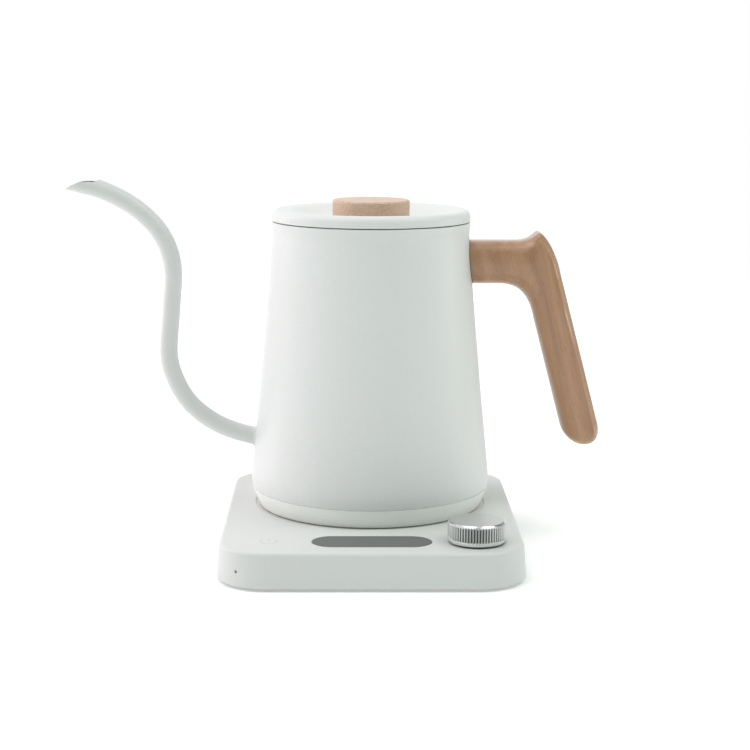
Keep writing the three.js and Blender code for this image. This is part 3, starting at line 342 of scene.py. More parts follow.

# %% [markdown]
# ## Beech
#
# Beech is a pale pink-brown wood with straight, quiet grain and many short darker flecks, which are its
# rays cut across. A flat image of a board could be wrapped round each piece, but its grain would bend
# round the turned knob as no real grain does. Here the grain is a field in space: noise pulled out along
# the grain makes fibres and bands, and a second, shorter noise above a threshold makes the flecks.
# Turning the field turns the grain. The grip is darker and shinier than the knob. The knob's beech is
# painted paler and greyer: painted light for the light the lid throws back and the sheen on its top.

# %% Beech
def beech(name, turn, pale, deep, rough, contrast, coat):
    """Oiled beech whose grain runs along the turned field's Z."""
    finish = Finish(name)
    bands = finish.noise(1, finish.stretched((110, 160, 9), turn), detail=4, distortion=0.6)
    fibres = finish.noise(1, finish.stretched((2600, 2600, 60), turn), detail=3, roughness=0.65)
    rays = finish.noise(1, finish.stretched((2400, 1300, 330), turn, (0.3, 0.1, 0.2)), detail=1)
    flecks = finish.step(rays, 0.61, 0.72)
    dark = colour(*(0.6 * tint for tint in deep[:3]))
    wood = finish.mix(finish.step(bands, 0.3, 0.75), pale, deep)
    grained = finish.mix(finish.step(fibres, 0.42, 0.8) * contrast, wood, dark)
    flecked = finish.mix(flecks * contrast, grained, dark)
    normal = finish.bump(fibres - 0.5 * flecks, 0.05 * MM)
    return finish.surface(Base_Color=flecked, Roughness=rough + 0.16 * fibres, Normal=normal,
                          Coat_Weight=coat, Coat_Roughness=0.18)


GRIP_TILT = (0, math.radians(15), 0)
KNOB_TILT = (0, math.pi / 2, math.radians(20))
GRIP_BEECH = beech("beech_grip", GRIP_TILT, colour(0.48, 0.265, 0.145), colour(0.35, 0.175, 0.09),
                   rough=0.34, contrast=0.4, coat=0.6)
# Painted light: the knob's tints are paler and greyer than the grip's, for the lid's bounce light and the
# sheen on its top.
KNOB_BEECH_PAINTED_PALER = beech("beech_knob_painted_paler", KNOB_TILT, colour(0.7, 0.5, 0.38), colour(0.62, 0.4, 0.28),
                   rough=0.4, contrast=0.8, coat=0.15)
print("beech ready for the grip and the knob")

# %% [markdown]
# ## Metals
#
# Turned aluminium carries fine circular tool marks: its roughness and bump change with the distance from
# the dial's axis. A polished chamfer breaks the edge of the dial, so its roughness drops where a point is
# past the top face's radius. The dial's grooves below the chamfer are tinted near black: painted shade in
# the hollows. Pressed steel is brushed in one direction. Brass contacts are plain and have a slight tarnish.

# %% Aluminium, steel and brass
DIAL_BOTTOM, DIAL_TOP = levels("control_dial")
DIAL_RADIUS = 14.6 * MM
DIAL_CHAMFER = 1.3 * MM
DIAL_FACE = DIAL_RADIUS - DIAL_CHAMFER
CHAMFER_BOTTOM = DIAL_TOP - DIAL_CHAMFER
GROOVE_DEPTH = 0.7 * MM


def turned_aluminium():
    """Tool marks round the dial's axis, a polished chamfer, and painted shade in the grooves."""
    finish = Finish("turned_dial")
    away = finish.away_from(DIAL)
    z = finish.split(finish.place)[2]
    rings = finish.node("ShaderNodeCombineXYZ", None, {"X": away * 9000, "Z": z * 4000})
    marks = finish.noise(1, rings, detail=3, roughness=0.7)
    polished = finish.step(away, DIAL_FACE - 0.05 * MM, DIAL_FACE + 0.05 * MM)
    polished = polished * finish.step(z, CHAMFER_BOTTOM - 0.1 * MM, CHAMFER_BOTTOM + 0.1 * MM)
    # Painted shade: the grooves below the chamfer are tinted near black to stand for the shade in them.
    groove_painted_shade = 1 - finish.step(away, DIAL_RADIUS - GROOVE_DEPTH, DIAL_RADIUS - 0.12 * MM)
    below = 1 - finish.step(z, CHAMFER_BOTTOM - 0.6 * MM, CHAMFER_BOTTOM)
    rough = 0.3 + 0.12 * marks - 0.2 * polished
    bright = finish.mix(marks, colour(0.66, 0.67, 0.665), colour(0.56, 0.57, 0.565))
    tint = finish.mix(groove_painted_shade * below, bright, colour(0.09, 0.1, 0.095))
    normal = finish.bump(marks * (1 - polished), 0.012 * MM)
    return finish.surface(Base_Color=tint, Metallic=1.0, Roughness=rough, Normal=normal)


def brushed(name, light, dark, rough, scale=(30, 30, 5000)):
    finish = Finish(name)
    marks = finish.noise(1, finish.stretched(scale), detail=3, roughness=0.7)
    cloud = finish.noise(12 * MM)
    tint = finish.mix(marks * 0.6 + cloud * 0.4, light, dark)
    normal = finish.bump(marks, 0.01 * MM)
    return finish.surface(Base_Color=tint, Metallic=1.0, Roughness=rough + 0.16 * marks, Normal=normal)


print("metals ready")

# %% [markdown]
# ## Display window, rubber, silicone and circuit board
#
# The display sits behind a smoked acrylic window with a satin face: a dark grey with a faint cloud in it.
# Clear plastic over a dark film would be truer to the maker, but it looks the same when nothing is lit
# behind it, and takes far longer to render. Rubber and silicone are matt and slightly dusty. A circuit
# board is green lacquer over copper tracks, which show as a slightly lighter grid of lines.

# %% Window, rubber, silicone, board
def smoked_window():
    finish = Finish("smoked_window")
    cloud = finish.noise(18 * MM, detail=3)
    film = finish.noise(0.5 * MM)
    tint = finish.mix(cloud * 0.5 + film * 0.5, colour(0.12, 0.13, 0.122), colour(0.145, 0.155, 0.147))
    normal = finish.bump(film, 0.004 * MM)
    return finish.surface(Base_Color=tint, Roughness=0.5 + 0.12 * film, Normal=normal)


def dusty(name, light, dark, rough):
    finish = Finish(name)
    dust = finish.noise(0.8 * MM, detail=4, roughness=0.7)
    tint = finish.mix(finish.step(dust, 0.35, 0.75), light, dark)
    normal = finish.bump(dust, 0.03 * MM)
    return finish.surface(Base_Color=tint, Roughness=rough + 0.1 * dust, Normal=normal)


def circuit_board():
    finish = Finish("green_circuit_board")
    square_grid = {"offset": 0.0, "squash": 1.0}
    sockets = {
        "Vector": finish.place,
        "Color1": colour(0.03, 0.14, 0.07),
        "Color2": colour(0.04, 0.17, 0.08),
        "Mortar": colour(0.1, 0.27, 0.13),
        "Scale": 1.0,
        "Mortar Size": 0.2 * MM,
        "Brick Width": 4 * MM,
        "Row Height": 1.6 * MM,
    }
    tracks = finish.node("ShaderNodeTexBrick", square_grid, sockets)
    height = finish.node("ShaderNodeTexBrick", square_grid, sockets, "Fac")
    return finish.surface(Base_Color=tracks, Roughness=0.35, Normal=finish.bump(height, 0.03 * MM))


print("small finishes ready")

# %% [markdown]
# ## One finish for each material slot
#
# The record names a material slot for every node. Making one finish per slot, and giving it to the
# mechanical nodes at once, means that no piece can be left bare. Pieces built below replace the nodes
# that a person sees and take the same finishes.

# %% A finish for each slot
NO_BRUSHING = (400, 400, 400)
FINISHES = {
    "white_coat": powder_coat("white_powder_coat", COAT_WARM, COAT_COOL),
    "white_plastic": moulded("white_moulded_plastic"),
    "wood": GRIP_BEECH,
    "steel": brushed("brushed_steel", colour(0.66, 0.65, 0.63), colour(0.5, 0.495, 0.48), 0.24),
    "aluminium": turned_aluminium(),
    "brass": brushed("plain_brass", colour(0.78, 0.6, 0.3), colour(0.66, 0.49, 0.24), 0.26, NO_BRUSHING),
    "dark_plastic": moulded("dark_moulded_plastic", colour(0.05, 0.05, 0.052),
                            colour(0.028, 0.028, 0.03), 0.38),
    "display_window": smoked_window(),
    "rubber": dusty("matt_rubber", colour(0.045, 0.045, 0.045), colour(0.075, 0.073, 0.07), 0.75),
    "silicone": dusty("pale_silicone", colour(0.7, 0.7, 0.66), colour(0.62, 0.62, 0.58), 0.5),
    "circuit_board": circuit_board(),
}
SLOT_OF = {part["node"]: part["material_slot"] for part in frame["record"]["subparts"]}
for name, node in frame["nodes"].items():
    if not node.material_slots:
        node.data.materials.append(None)
    for material_slot in node.material_slots:
        material_slot.link = "OBJECT"
        material_slot.material = FINISHES[SLOT_OF[name]]
print(len(FINISHES), "finishes on", len(SLOT_OF), "nodes")

# %% [markdown]
# ## Building meshes from outlines
#
# Nearly every piece is an outline that is turned, stacked or swept. Blender's cylinders and cubes have
# hard corners that no moulded or pressed piece has, so the outlines here are lists of corners with a
# radius, and each radius becomes an arc. A bevel on a finished mesh would do the same, but an outline
# keeps exact control over where the edges run.

# %% Outlines
def rounded(corners, closed=False, steps=5):
    """A line through (x, y) or (x, y, radius) corners, with an arc at each corner that has a radius."""
    points = []
    for i, (x, y, *radius) in enumerate(corners):
        at_end = not closed and i in (0, len(corners) - 1)
        if not radius or at_end:
            points.append((x, y))
            continue
        here = np.array((x, y))
        back = np.array(corners[i - 1][:2]) - here
        ahead = np.array(corners[(i + 1) % len(corners)][:2]) - here
        back /= np.linalg.norm(back)
        ahead /= np.linalg.norm(ahead)
        half = math.acos(np.clip(back @ ahead, -1, 1)) / 2
        reach = radius[0] / math.tan(half)
        hub = here + (back + ahead) / np.linalg.norm(back + ahead) * radius[0] / math.sin(half)
        first, last = here + back * reach - hub, here + ahead * reach - hub
        start = math.atan2(first[1], first[0])
        sweep = (math.atan2(last[1], last[0]) - start + math.pi) % (2 * math.pi) - math.pi
        for k in range(steps + 1):
            angle = start + sweep * k / steps
            points.append((hub[0] + radius[0] * math.cos(angle), hub[1] + radius[0] * math.sin(angle)))
    return points


def in_mm(corners):
    return [tuple(value * MM for value in corner) for corner in corners]


def circle(radius, centre, count):
    angles = np.linspace(0, 2 * math.pi, count, endpoint=False)
    return [(centre[0] + radius * math.cos(a), centre[1] + radius * math.sin(a)) for a in angles]


def slab_outline(half_x, half_y, radius, centre, steps):
    """A rectangle with round corners, anticlockwise from the lower right corner."""
    corners = [(sx * half_x, sy * half_y, radius) for sx, sy in ((1, -1), (1, 1), (-1, 1), (-1, -1))]
    return [(centre[0] + x, centre[1] + y) for x, y in rounded(corners, closed=True, steps=steps)]


print("outline helpers ready")

# %% Meshes from outlines
def loop(shape, outline, z):
    return [shape.verts.new((x, y, z)) for x, y in outline]


def join(shape, rows, closed=False):
    """Quads between neighbouring rows of points; a row may be a single point."""
    rows = rows + rows[:1] if closed else rows
    for lower, upper in zip(rows, rows[1:]):
        for i in range(max(len(lower), len(upper))):
            corners = [lower[i % len(lower)], lower[(i + 1) % len(lower)],
                       upper[(i + 1) % len(upper)], upper[i % len(upper)]]
            corners = list(dict.fromkeys(corners))
            if len(corners) > 2:
                shape.faces.new(corners)


def fill(shape, *loops):
    """A flat face with holes, between an outer loop and any inner ones."""
    if len(loops) == 1:
        shape.faces.new(loops[0])
        return
    edges = []
    for row in loops:
        for i, corner in enumerate(row):
            ends = (corner, row[(i + 1) % len(row)])
            edges.append(shape.edges.get(ends) or shape.edges.new(ends))
    bmesh.ops.triangle_fill(shape, use_beauty=True, edges=edges)


def turned(profile, centre, sides=128, closed=False):
    """A mesh turned about an upright axis from (radius, height) points."""
    shape = bmesh.new()
    rows = []
    for radius, z in profile:
        if radius < 1e-7:
            rows.append([shape.verts.new((centre[0], centre[1], z))])
        else:
            rows.append(loop(shape, circle(radius, centre, sides), z))
    join(shape, rows, closed)
    return shape


def piece(name, shape, slot, body, replaces=(), finish=None, crisp=32, lining=None):
    """Turns a mesh into a visible piece that rides on a body."""
    bmesh.ops.remove_doubles(shape, verts=shape.verts, dist=1e-7)
    bmesh.ops.recalc_face_normals(shape, faces=shape.faces)
    mesh = bpy.data.meshes.new(name)
    shape.to_mesh(mesh)
    shape.free()
    mesh.shade_smooth()
    mesh.set_sharp_from_angle(angle=math.radians(crisp))
    mesh.materials.append(finish or FINISHES[slot])
    if lining:
        mesh.materials.append(lining)
    made = bpy.data.objects.new(name, mesh)
    bpy.context.scene.collection.objects.link(made)
    made.modifiers.new("flat_faces_stay_flat", "WEIGHTED_NORMAL").keep_sharp = True
    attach(made, body)
    if replaces:
        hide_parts(*replaces)
    return made


print("mesh helpers ready")

# %% [markdown]
# ## Base top cover
#
# The base is one deep tray turned upside down, with a flat top, corners of 25 mm, sides that flare a
# little for the mould, and a top edge rounded by less than two millimetres. The top has a shallow round
# seat for the kettle, a hole for the coupler, a pocket for the display and a hole for the dial's bush.
# Cutting these with booleans would leave ragged triangles beside the rounded edges. Instead each opening
# is its own stack of loops, and the flat top is filled between the loops.

# %% Base top cover
cover_low, cover_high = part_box("base_top_cover")
BASE = middle("base_top_cover").xy
BASE_HALF = ((cover_high.x - cover_low.x) / 2, (cover_high.y - cover_low.y) / 2)
BASE_CORNER = 25.3 * MM
BASE_FLARE = 1.3 * MM
TOP_PLATE = 2.4 * MM
CEILING = BASE_TOP - TOP_PLATE
COVER_WALL = 2.2 * MM
SEAT_DEPTH = 0.5 * MM
COUPLER_HOLE = 18.3 * MM
BUSH_HOLE = 4.6 * MM
WINDOW = middle("display_window").xy
WINDOW_HALF = (30 * MM, 10.2 * MM)
WINDOW_GAP = 0.25 * MM
WINDOW_SHELF = BASE_TOP - 1.9 * MM


def base_outline(inset):
    return slab_outline(BASE_HALF[0] - inset, BASE_HALF[1] - inset, BASE_CORNER - inset, BASE, 20)


def window_outline(grown):
    return slab_outline(WINDOW_HALF[0] + grown, WINDOW_HALF[1] + grown, WINDOW_HALF[1] + grown, WINDOW, 24)


def stack(shape, profile, outline):
    """Rows of points for (inset, height) steps of an outline."""
    return [loop(shape, outline(inset), z) for inset, z in profile]


def base_cover():
    shape = bmesh.new()
    side = rounded([
        (BASE_FLARE + COVER_WALL, CEILING),
        (COVER_WALL, BASE_BOTTOM),
        (0, BASE_BOTTOM, 0.5 * MM),
        (BASE_FLARE, BASE_TOP, 1.7 * MM),
        (BASE_FLARE + 4 * MM, BASE_TOP),
    ], steps=8)
    wall = stack(shape, side, base_outline)
    seat = rounded([
        (SEAT_RADIUS + 0.8 * MM, BASE_TOP),
        (SEAT_RADIUS, BASE_TOP, 0.3 * MM),
        (SEAT_RADIUS - 0.1 * MM, BASE_TOP - SEAT_DEPTH, 0.15 * MM),
        (COUPLER_HOLE, BASE_TOP - SEAT_DEPTH, 0.3 * MM),
        (COUPLER_HOLE, CEILING),
    ])
    recess = stack(shape, seat, lambda radius: circle(radius, KETTLE, 160))
    edge = rounded([
        (WINDOW_GAP + 0.35 * MM, BASE_TOP),
        (WINDOW_GAP, BASE_TOP, 0.15 * MM),
        (WINDOW_GAP, WINDOW_SHELF),
        (-2.2 * MM, WINDOW_SHELF),
        (-2.2 * MM, CEILING),
    ], steps=4)
    pocket = stack(shape, edge, window_outline)
    through = [(BUSH_HOLE, BASE_TOP), (BUSH_HOLE, CEILING)]
    bush = stack(shape, through, lambda radius: circle(radius, DIAL, 48))
    for rows in (wall, recess, pocket, bush):
        join(shape, rows)
    fill(shape, wall[-1], recess[0], pocket[0], bush[0])
    fill(shape, wall[0], recess[-1], pocket[-1], bush[-1])
    return shape


BASE_PLASTIC = moulded("base_white_plastic", seat_line_and_shade=True)
cover = piece("top_cover", base_cover(), "white_plastic", "base", ["base_top_cover"], finish=BASE_PLASTIC)
print("top cover:", len(cover.data.polygons), "faces")

# %% [markdown]
# ## Cord inlet and sound hole
#
# The mains cord enters at the middle of the back through a round strain-relief socket, and a small hole
# low in the front left corner lets the buzzer's sound out. The wall needs a real hole at both. Loops of
# points, as in the top, would have to bend round the walls, so these two are boolean cuts. The back wall
# is flat, and the sound hole is small, so neither cut bends the shading round it.

# %% A cut through a wall
def lying(shape, hub, direction=Vector((0, 1, 0))):
    """Lays an upright turned mesh down so that its axis points from hub in a direction."""
    turn = direction.to_track_quat("Z", "Y").to_matrix().to_4x4()
    shape.transform(Matrix.Translation(hub) @ turn)
    return shape


def cut(target, shape):
    """Takes a shape out of a piece."""
    mesh = bpy.data.meshes.new("cutter")
    bmesh.ops.recalc_face_normals(shape, faces=shape.faces)
    shape.to_mesh(mesh)
    shape.free()
    cutter = bpy.data.objects.new("cutter", mesh)
    bpy.context.scene.collection.objects.link(cutter)
    change = target.modifiers.new("cut", "BOOLEAN")
    change.object = cutter
    change.solver = "EXACT"
    target.modifiers.move(len(target.modifiers) - 1, 0)
    graph = bpy.context.evaluated_depsgraph_get()
    flat = target.modifiers["flat_faces_stay_flat"]
    flat.show_viewport = False
    graph.update()
    result = bpy.data.meshes.new_from_object(target.evaluated_get(graph))
    flat.show_viewport = True
    target.modifiers.remove(change)
    bpy.data.objects.remove(cutter)
    result.shade_smooth()
    result.set_sharp_from_angle(angle=math.radians(32))
    target.data = result


def rod(radius, start, end, sides):
    """A plain rod along the upright axis, to be laid down as a cutter."""
    return turned([(0, start), (radius, start), (radius, end), (0, end)], (0, 0), sides)


print("cutter ready")

# %% Inlet
inlet_low, inlet_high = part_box("cord_inlet")
INLET = (inlet_low + inlet_high) / 2
INLET_LENGTH = inlet_high.y - inlet_low.y
INLET_FLANGE = (inlet_high.x - inlet_low.x) / 2
INLET_NECK = 4.8 * MM
INLET_BORE = 3.5 * MM
back_wall = Vector((INLET.x, inlet_high.y - 2 * MM, INLET.z))
cut(cover, lying(rod(INLET_NECK + 0.3 * MM, -8 * MM, 8 * MM, 48), back_wall))
socket = rounded([
    (INLET_BORE, 0),
    (INLET_FLANGE, 0),
    (INLET_FLANGE, 3 * MM, 0.3 * MM),
    (INLET_NECK, 3 * MM),
    (INLET_NECK, INLET_LENGTH, 0.6 * MM),
    (INLET_BORE, INLET_LENGTH, 0.4 * MM),
], closed=True)
inlet = lying(turned(socket, (0, 0), 64, closed=True), Vector((INLET.x, inlet_low.y, INLET.z)))
piece("inlet", inlet, "dark_plastic", "base", ["cord_inlet"])
print("inlet bore is", round(2 * INLET_BORE / MM, 1), "mm across")

# %% Sound hole
SOUND_HOLE_RADIUS = 0.8 * MM
SOUND_HOLE_HEIGHT = 7.4 * MM
SOUND_HOLE_TURN = math.radians(233.4)
outward = Vector((math.cos(SOUND_HOLE_TURN), math.sin(SOUND_HOLE_TURN), 0))
corner_hub = Vector((BASE.x - BASE_HALF[0] + BASE_CORNER, BASE.y - BASE_HALF[1] + BASE_CORNER,
                     BASE_BOTTOM + SOUND_HOLE_HEIGHT))
cut(cover, lying(rod(SOUND_HOLE_RADIUS, 15 * MM, 30 * MM, 24), corner_hub, outward))
print("sound hole is", round(2 * SOUND_HOLE_RADIUS / MM, 1), "mm across")

# %% [markdown]
# ## Bottom cover, feet and screws
#
# A flat plate closes the base. It holds four round rubber feet in shallow wells and four screws in deeper
# ones. The screws have a cross recess: its outline has as many points as the head's circle, so the head
# can be joined ring by ring without cutting anything.

# %% Bottom cover
CORNERS = ("front_left", "front_right", "back_left", "back_right")
FEET = [middle(f"rubber_foot_{corner}").xy for corner in CORNERS]
SCREWS = [middle(f"base_screw_{corner}").xy for corner in CORNERS]
PLATE_TOP = BASE_BOTTOM + 2.5 * MM
FOOT_WELL_RADIUS = 8.3 * MM
FOOT_WELL_TOP = BASE_BOTTOM + 1.5 * MM
SCREW_WELL_RADIUS = 3.5 * MM
SCREW_WELL_TOP = BASE_BOTTOM + 2 * MM
SCREW_HOLE_RADIUS = 1.8 * MM


def bottom_plate():
    shape = bmesh.new()
    rim = stack(shape, rounded([
        (6 * MM, BASE_BOTTOM),
        (2.6 * MM, BASE_BOTTOM, 0.4 * MM),
        (2.9 * MM, PLATE_TOP, 0.4 * MM),
        (6 * MM, PLATE_TOP),
    ], steps=4), base_outline)
    join(shape, rim)
    lower, upper = [rim[0]], [rim[-1]]
    for foot in FEET:
        well = rounded([
            (FOOT_WELL_RADIUS + 0.5 * MM, BASE_BOTTOM),
            (FOOT_WELL_RADIUS, BASE_BOTTOM, 0.3 * MM),
            (FOOT_WELL_RADIUS, FOOT_WELL_TOP),
        ])
        rows = stack(shape, well, lambda radius: circle(radius, foot, 64))
        join(shape, rows + [[shape.verts.new((*foot, FOOT_WELL_TOP))]])
        lower.append(rows[0])
    for screw in SCREWS:
        well = rounded([
            (SCREW_WELL_RADIUS + 0.5 * MM, BASE_BOTTOM),
            (SCREW_WELL_RADIUS, BASE_BOTTOM, 0.3 * MM),
            (SCREW_WELL_RADIUS, SCREW_WELL_TOP),
            (SCREW_HOLE_RADIUS, SCREW_WELL_TOP),
            (SCREW_HOLE_RADIUS, PLATE_TOP),
        ])
        rows = stack(shape, well, lambda radius: circle(radius, screw, 32))
        join(shape, rows)
        lower.append(rows[0])
        upper.append(rows[-1])
    fill(shape, *lower)
    fill(shape, *upper)
    return shape


piece("bottom_cover", bottom_plate(), "white_plastic", "base", ["base_bottom_cover"])
print("bottom cover is", round((PLATE_TOP - BASE_BOTTOM) / MM, 1), "mm thick")

# %% Feet
PAD_CORNERS = [(0, 0.25), (5.6, 0.25, 0.2), (6, 0, 0.2), (8, 0, 0.7), (8, 2.7, 0.2), (0, 2.7)]
PAD = rounded(in_mm(PAD_CORNERS), steps=4)
for corner, foot in zip(CORNERS, FEET):
    node = f"rubber_foot_{corner}"
    pad = [(radius, levels(node)[0] + z) for radius, z in PAD]
    piece(f"foot_{corner}", turned(pad, foot, 64), "rubber", "base", [node])
print(len(FEET), "feet fitted")

# %% Screws with a cross recess
HEAD_RADIUS = 3.2 * MM
HEAD_SIDES = 48
PAN_HEAD = 1.7 * MM
LOW_HEAD = 1.0 * MM
SHANK_RADIUS = 1.5 * MM


def cross(reach, width, centre):
    """The outline of a cross recess, with one point for each point of the head's circle."""
    points = []
    for angle in np.linspace(0, 2 * math.pi, HEAD_SIDES, endpoint=False):
        lean = (angle + math.pi / 4) % (math.pi / 2) - math.pi / 4
        radius = min(reach / math.cos(lean), width / max(abs(math.sin(lean)), 1e-6))
        points.append((centre[0] + radius * math.cos(angle), centre[1] + radius * math.sin(angle)))
    return points


def screw(bottom, top, head_height, centre):
    """A pan-head screw standing head down; its recess narrows to its floor."""
    shape = bmesh.new()
    neck = bottom + head_height
    recess_floor = bottom + 0.7 * head_height
    sides = rounded([
        (0.8 * HEAD_RADIUS, bottom),
        (HEAD_RADIUS, bottom, 0.5 * MM),
        (HEAD_RADIUS, neck),
        (SHANK_RADIUS, neck),
        (SHANK_RADIUS, top),
    ], steps=4)
    rows = [[shape.verts.new((*centre, recess_floor))]]
    rows.append(loop(shape, cross(0.5 * HEAD_RADIUS, 0.12 * HEAD_RADIUS, centre), recess_floor))
    rows.append(loop(shape, cross(0.62 * HEAD_RADIUS, 0.17 * HEAD_RADIUS, centre), bottom))
    rows += [loop(shape, circle(radius, centre, HEAD_SIDES), z) for radius, z in sides]
    rows.append([shape.verts.new((*centre, top))])
    join(shape, rows)
    return shape


def screw_piece(node, body, head_height):
    shape = screw(*levels(node), head_height, middle(node).xy)
    piece(node.replace("screw", "machine_screw"), shape, "steel", body, [node], crisp=40)


for corner in CORNERS:
    screw_piece(f"base_screw_{corner}", "base", PAN_HEAD)
for i in (1, 2, 3):
    screw_piece(f"foot_ring_screw_{i}", "kettle", LOW_HEAD)
for i in (1, 2):
    screw_piece(f"handle_screw_{i}", "kettle", PAN_HEAD)
print("nine screws placed")

# %% [markdown]
# ## Display window and touch key
#
# The window is a pill of smoked acrylic set flush in its pocket, with a fine broken edge. The touch key
# has no moving part: it is a faint printed ring with a short bar over a sensor. A mask in the plastic's
# own finish could draw it, but print has an edge of its own, so it is built as two thin ribbons of paint
# that stand three hundredths of a millimetre proud.

# %% Display window
def window_pane():
    shape = bmesh.new()
    bottom, top = levels("display_window")
    rim = rounded([(-1 * MM, bottom), (0, bottom), (0, top, 0.25 * MM), (-1 * MM, top)], steps=4)
    rows = stack(shape, rim, window_outline)
    join(shape, rows)
    fill(shape, rows[0])
    fill(shape, rows[-1])
    return shape


piece("window_pane", window_pane(), "display_window", "base", ["display_window"])
print("window pane is", round(2000 * WINDOW_HALF[0]), "mm long")

# %% Touch mark
def printed_grey():
    finish = Finish("pale_grey_print")
    grain = finish.noise(0.3 * MM)
    tint = finish.mix(grain, colour(0.5, 0.52, 0.505), colour(0.57, 0.585, 0.57))
    normal = finish.bump(grain, 0.005 * MM)
    return finish.surface(Base_Color=tint, Roughness=0.5 + 0.1 * grain, Normal=normal)


def ribbon(shape, line, width, bottom, top):
    """A flat printed stroke along a line of points."""
    rows = []
    for i, here in enumerate(line):
        ahead = Vector(line[min(i + 1, len(line) - 1)])
        back = Vector(line[max(i - 1, 0)])
        side = (ahead - back).normalized().orthogonal() * width / 2
        corners = [(Vector(here) + s * side, z) for s, z in ((-1, bottom), (1, bottom), (1, top), (-1, top))]
        rows.append([shape.verts.new((*corner, z)) for corner, z in corners])
    join(shape, rows)
    shape.faces.new(rows[0])
    shape.faces.new(rows[-1])


MARK_RADIUS = 4.3 * MM
MARK_STROKE = 0.45 * MM
MARK_GAP = math.radians(38)


def touch_mark():
    shape = bmesh.new()
    hub = middle("touch_sensor").xy
    angles = np.linspace(math.pi / 2 + MARK_GAP, 2.5 * math.pi - MARK_GAP, 48)
    arc = [(hub.x + MARK_RADIUS * math.cos(a), hub.y + MARK_RADIUS * math.sin(a)) for a in angles]
    bar = [(hub.x, hub.y + share * MARK_RADIUS) for share in (0.25, 0.6, 1.0)]
    for line in (arc, bar):
        ribbon(shape, line, MARK_STROKE, BASE_TOP - 0.05 * MM, BASE_TOP + 0.03 * MM)
    return shape


piece("touch_mark", touch_mark(), "white_plastic", "base", finish=printed_grey())
print("touch mark printed")

# %% [markdown]
# ## Dial
#
# The dial is turned from aluminium bar. A wheel rolls sixty straight grooves up its side and stops short
# of the bottom, which leaves a plain band. The polished chamfer is cut last, so its lower edge follows the
# grooves in scallops. The same order works in the mesh: each point of a ring takes the smaller of the
# grooved radius and the chamfer's radius, and the scallops appear by themselves.

# %% Dial
GROOVES = 60
DIAL_SIDES = GROOVES * 8
BAND = 1.5 * MM
GROOVE_RUN_OUT = 0.7 * MM
DIAL_WALL = 2.4 * MM


def dial_ring(shape, z):
    """One ring of the dial's outside at a height."""
    cone = DIAL_RADIUS - max(0, z - CHAMFER_BOTTOM)
    cone = min(cone, DIAL_RADIUS - 0.25 * MM + (z - DIAL_BOTTOM))
    depth = GROOVE_DEPTH * min(1, max(0, (z - DIAL_BOTTOM - BAND) / GROOVE_RUN_OUT))
    points = []
    for i in range(DIAL_SIDES):
        angle = 2 * math.pi * i / DIAL_SIDES
        wave = 0.5 - 0.5 * math.cos(angle * GROOVES)
        radius = min(cone, DIAL_RADIUS - depth * wave ** 0.7)
        points.append((DIAL.x + radius * math.cos(angle), DIAL.y + radius * math.sin(angle)))
    return loop(shape, points, z)


def dial_shape():
    shape = bmesh.new()
    inside = DIAL_RADIUS - DIAL_WALL
    roof = DIAL_TOP - DIAL_WALL
    lower = [0, 0.1, 0.25, 0.9, 1.5, 1.7, 1.95, 2.2]
    upper = [1.75, 1.5, 1.3, 1.15, 1.0, 0.85, 0.7, 0.5, 0.15]
    heights = [DIAL_BOTTOM + step * MM for step in lower]
    heights += list(np.linspace(heights[-1], DIAL_TOP - upper[0] * MM, 6)[1:-1])
    heights += [DIAL_TOP - step * MM for step in upper]
    rows = [[shape.verts.new((*DIAL, roof))]]
    rows += [loop(shape, circle(inside, DIAL, DIAL_SIDES), z) for z in (roof, DIAL_BOTTOM)]
    rows += [dial_ring(shape, z) for z in heights]
    crown = [(DIAL_FACE + 0.02 * MM, 0.05), (DIAL_FACE - 0.1 * MM, 0), (DIAL_FACE * 0.7, 0.02),
             (DIAL_FACE * 0.35, 0.03)]
    rows += [loop(shape, circle(radius, DIAL, DIAL_SIDES), DIAL_TOP - drop * MM) for radius, drop in crown]
    rows.append([shape.verts.new((*DIAL, DIAL_TOP - 0.03 * MM))])
    join(shape, rows)
    return shape


dial = piece("knurled_dial", dial_shape(), "aluminium", "dial", ["control_dial"], crisp=28)
print("dial:", len(dial.data.polygons), "faces,", GROOVES, "grooves")

# %% [markdown]
# ## Cordless coupler
#
# The base's half is a round black post with two ring slots, a brass contact deep in each, and a centre
# hole. The kettle's half is a cup that drops over it, with a centre pin and two brass rings that enter the
# slots. All are round, so each is one outline turned about the kettle's axis rather than a stack of
# cylinders, and they show when the kettle is lifted off.

# %% Base half of the coupler
POST_BOTTOM, POST_TOP = levels("base_coupler")
SLOT_FLOOR = POST_TOP - 9 * MM
FLANGE_TOP = CEILING - 0.3 * MM
FLANGE_BOTTOM = FLANGE_TOP - 2.5 * MM


def post_profile():
    corners = [
        (0, POST_BOTTOM),
        (16 * MM, POST_BOTTOM),
        (16 * MM, FLANGE_BOTTOM),
        (21 * MM, FLANGE_BOTTOM),
        (21 * MM, FLANGE_TOP),
        (18 * MM, FLANGE_TOP),
        (18 * MM, POST_TOP, 1.2 * MM),
    ]
    for outer, inner in ((12.6, 10.0), (6.9, 4.5)):
        corners += [(outer * MM, POST_TOP, 0.35 * MM), (outer * MM, SLOT_FLOOR),
                    (inner * MM, SLOT_FLOOR), (inner * MM, POST_TOP, 0.35 * MM)]
    corners += [(1.9 * MM, POST_TOP, 0.3 * MM), (1.9 * MM, SLOT_FLOOR - 3 * MM), (0, SLOT_FLOOR - 3 * MM)]
    return rounded(corners)


piece("coupler_post", turned(post_profile(), KETTLE), "dark_plastic", "base", ["base_coupler"])
print("coupler stands", round((POST_TOP - BASE_TOP) / MM, 1), "mm above the base")

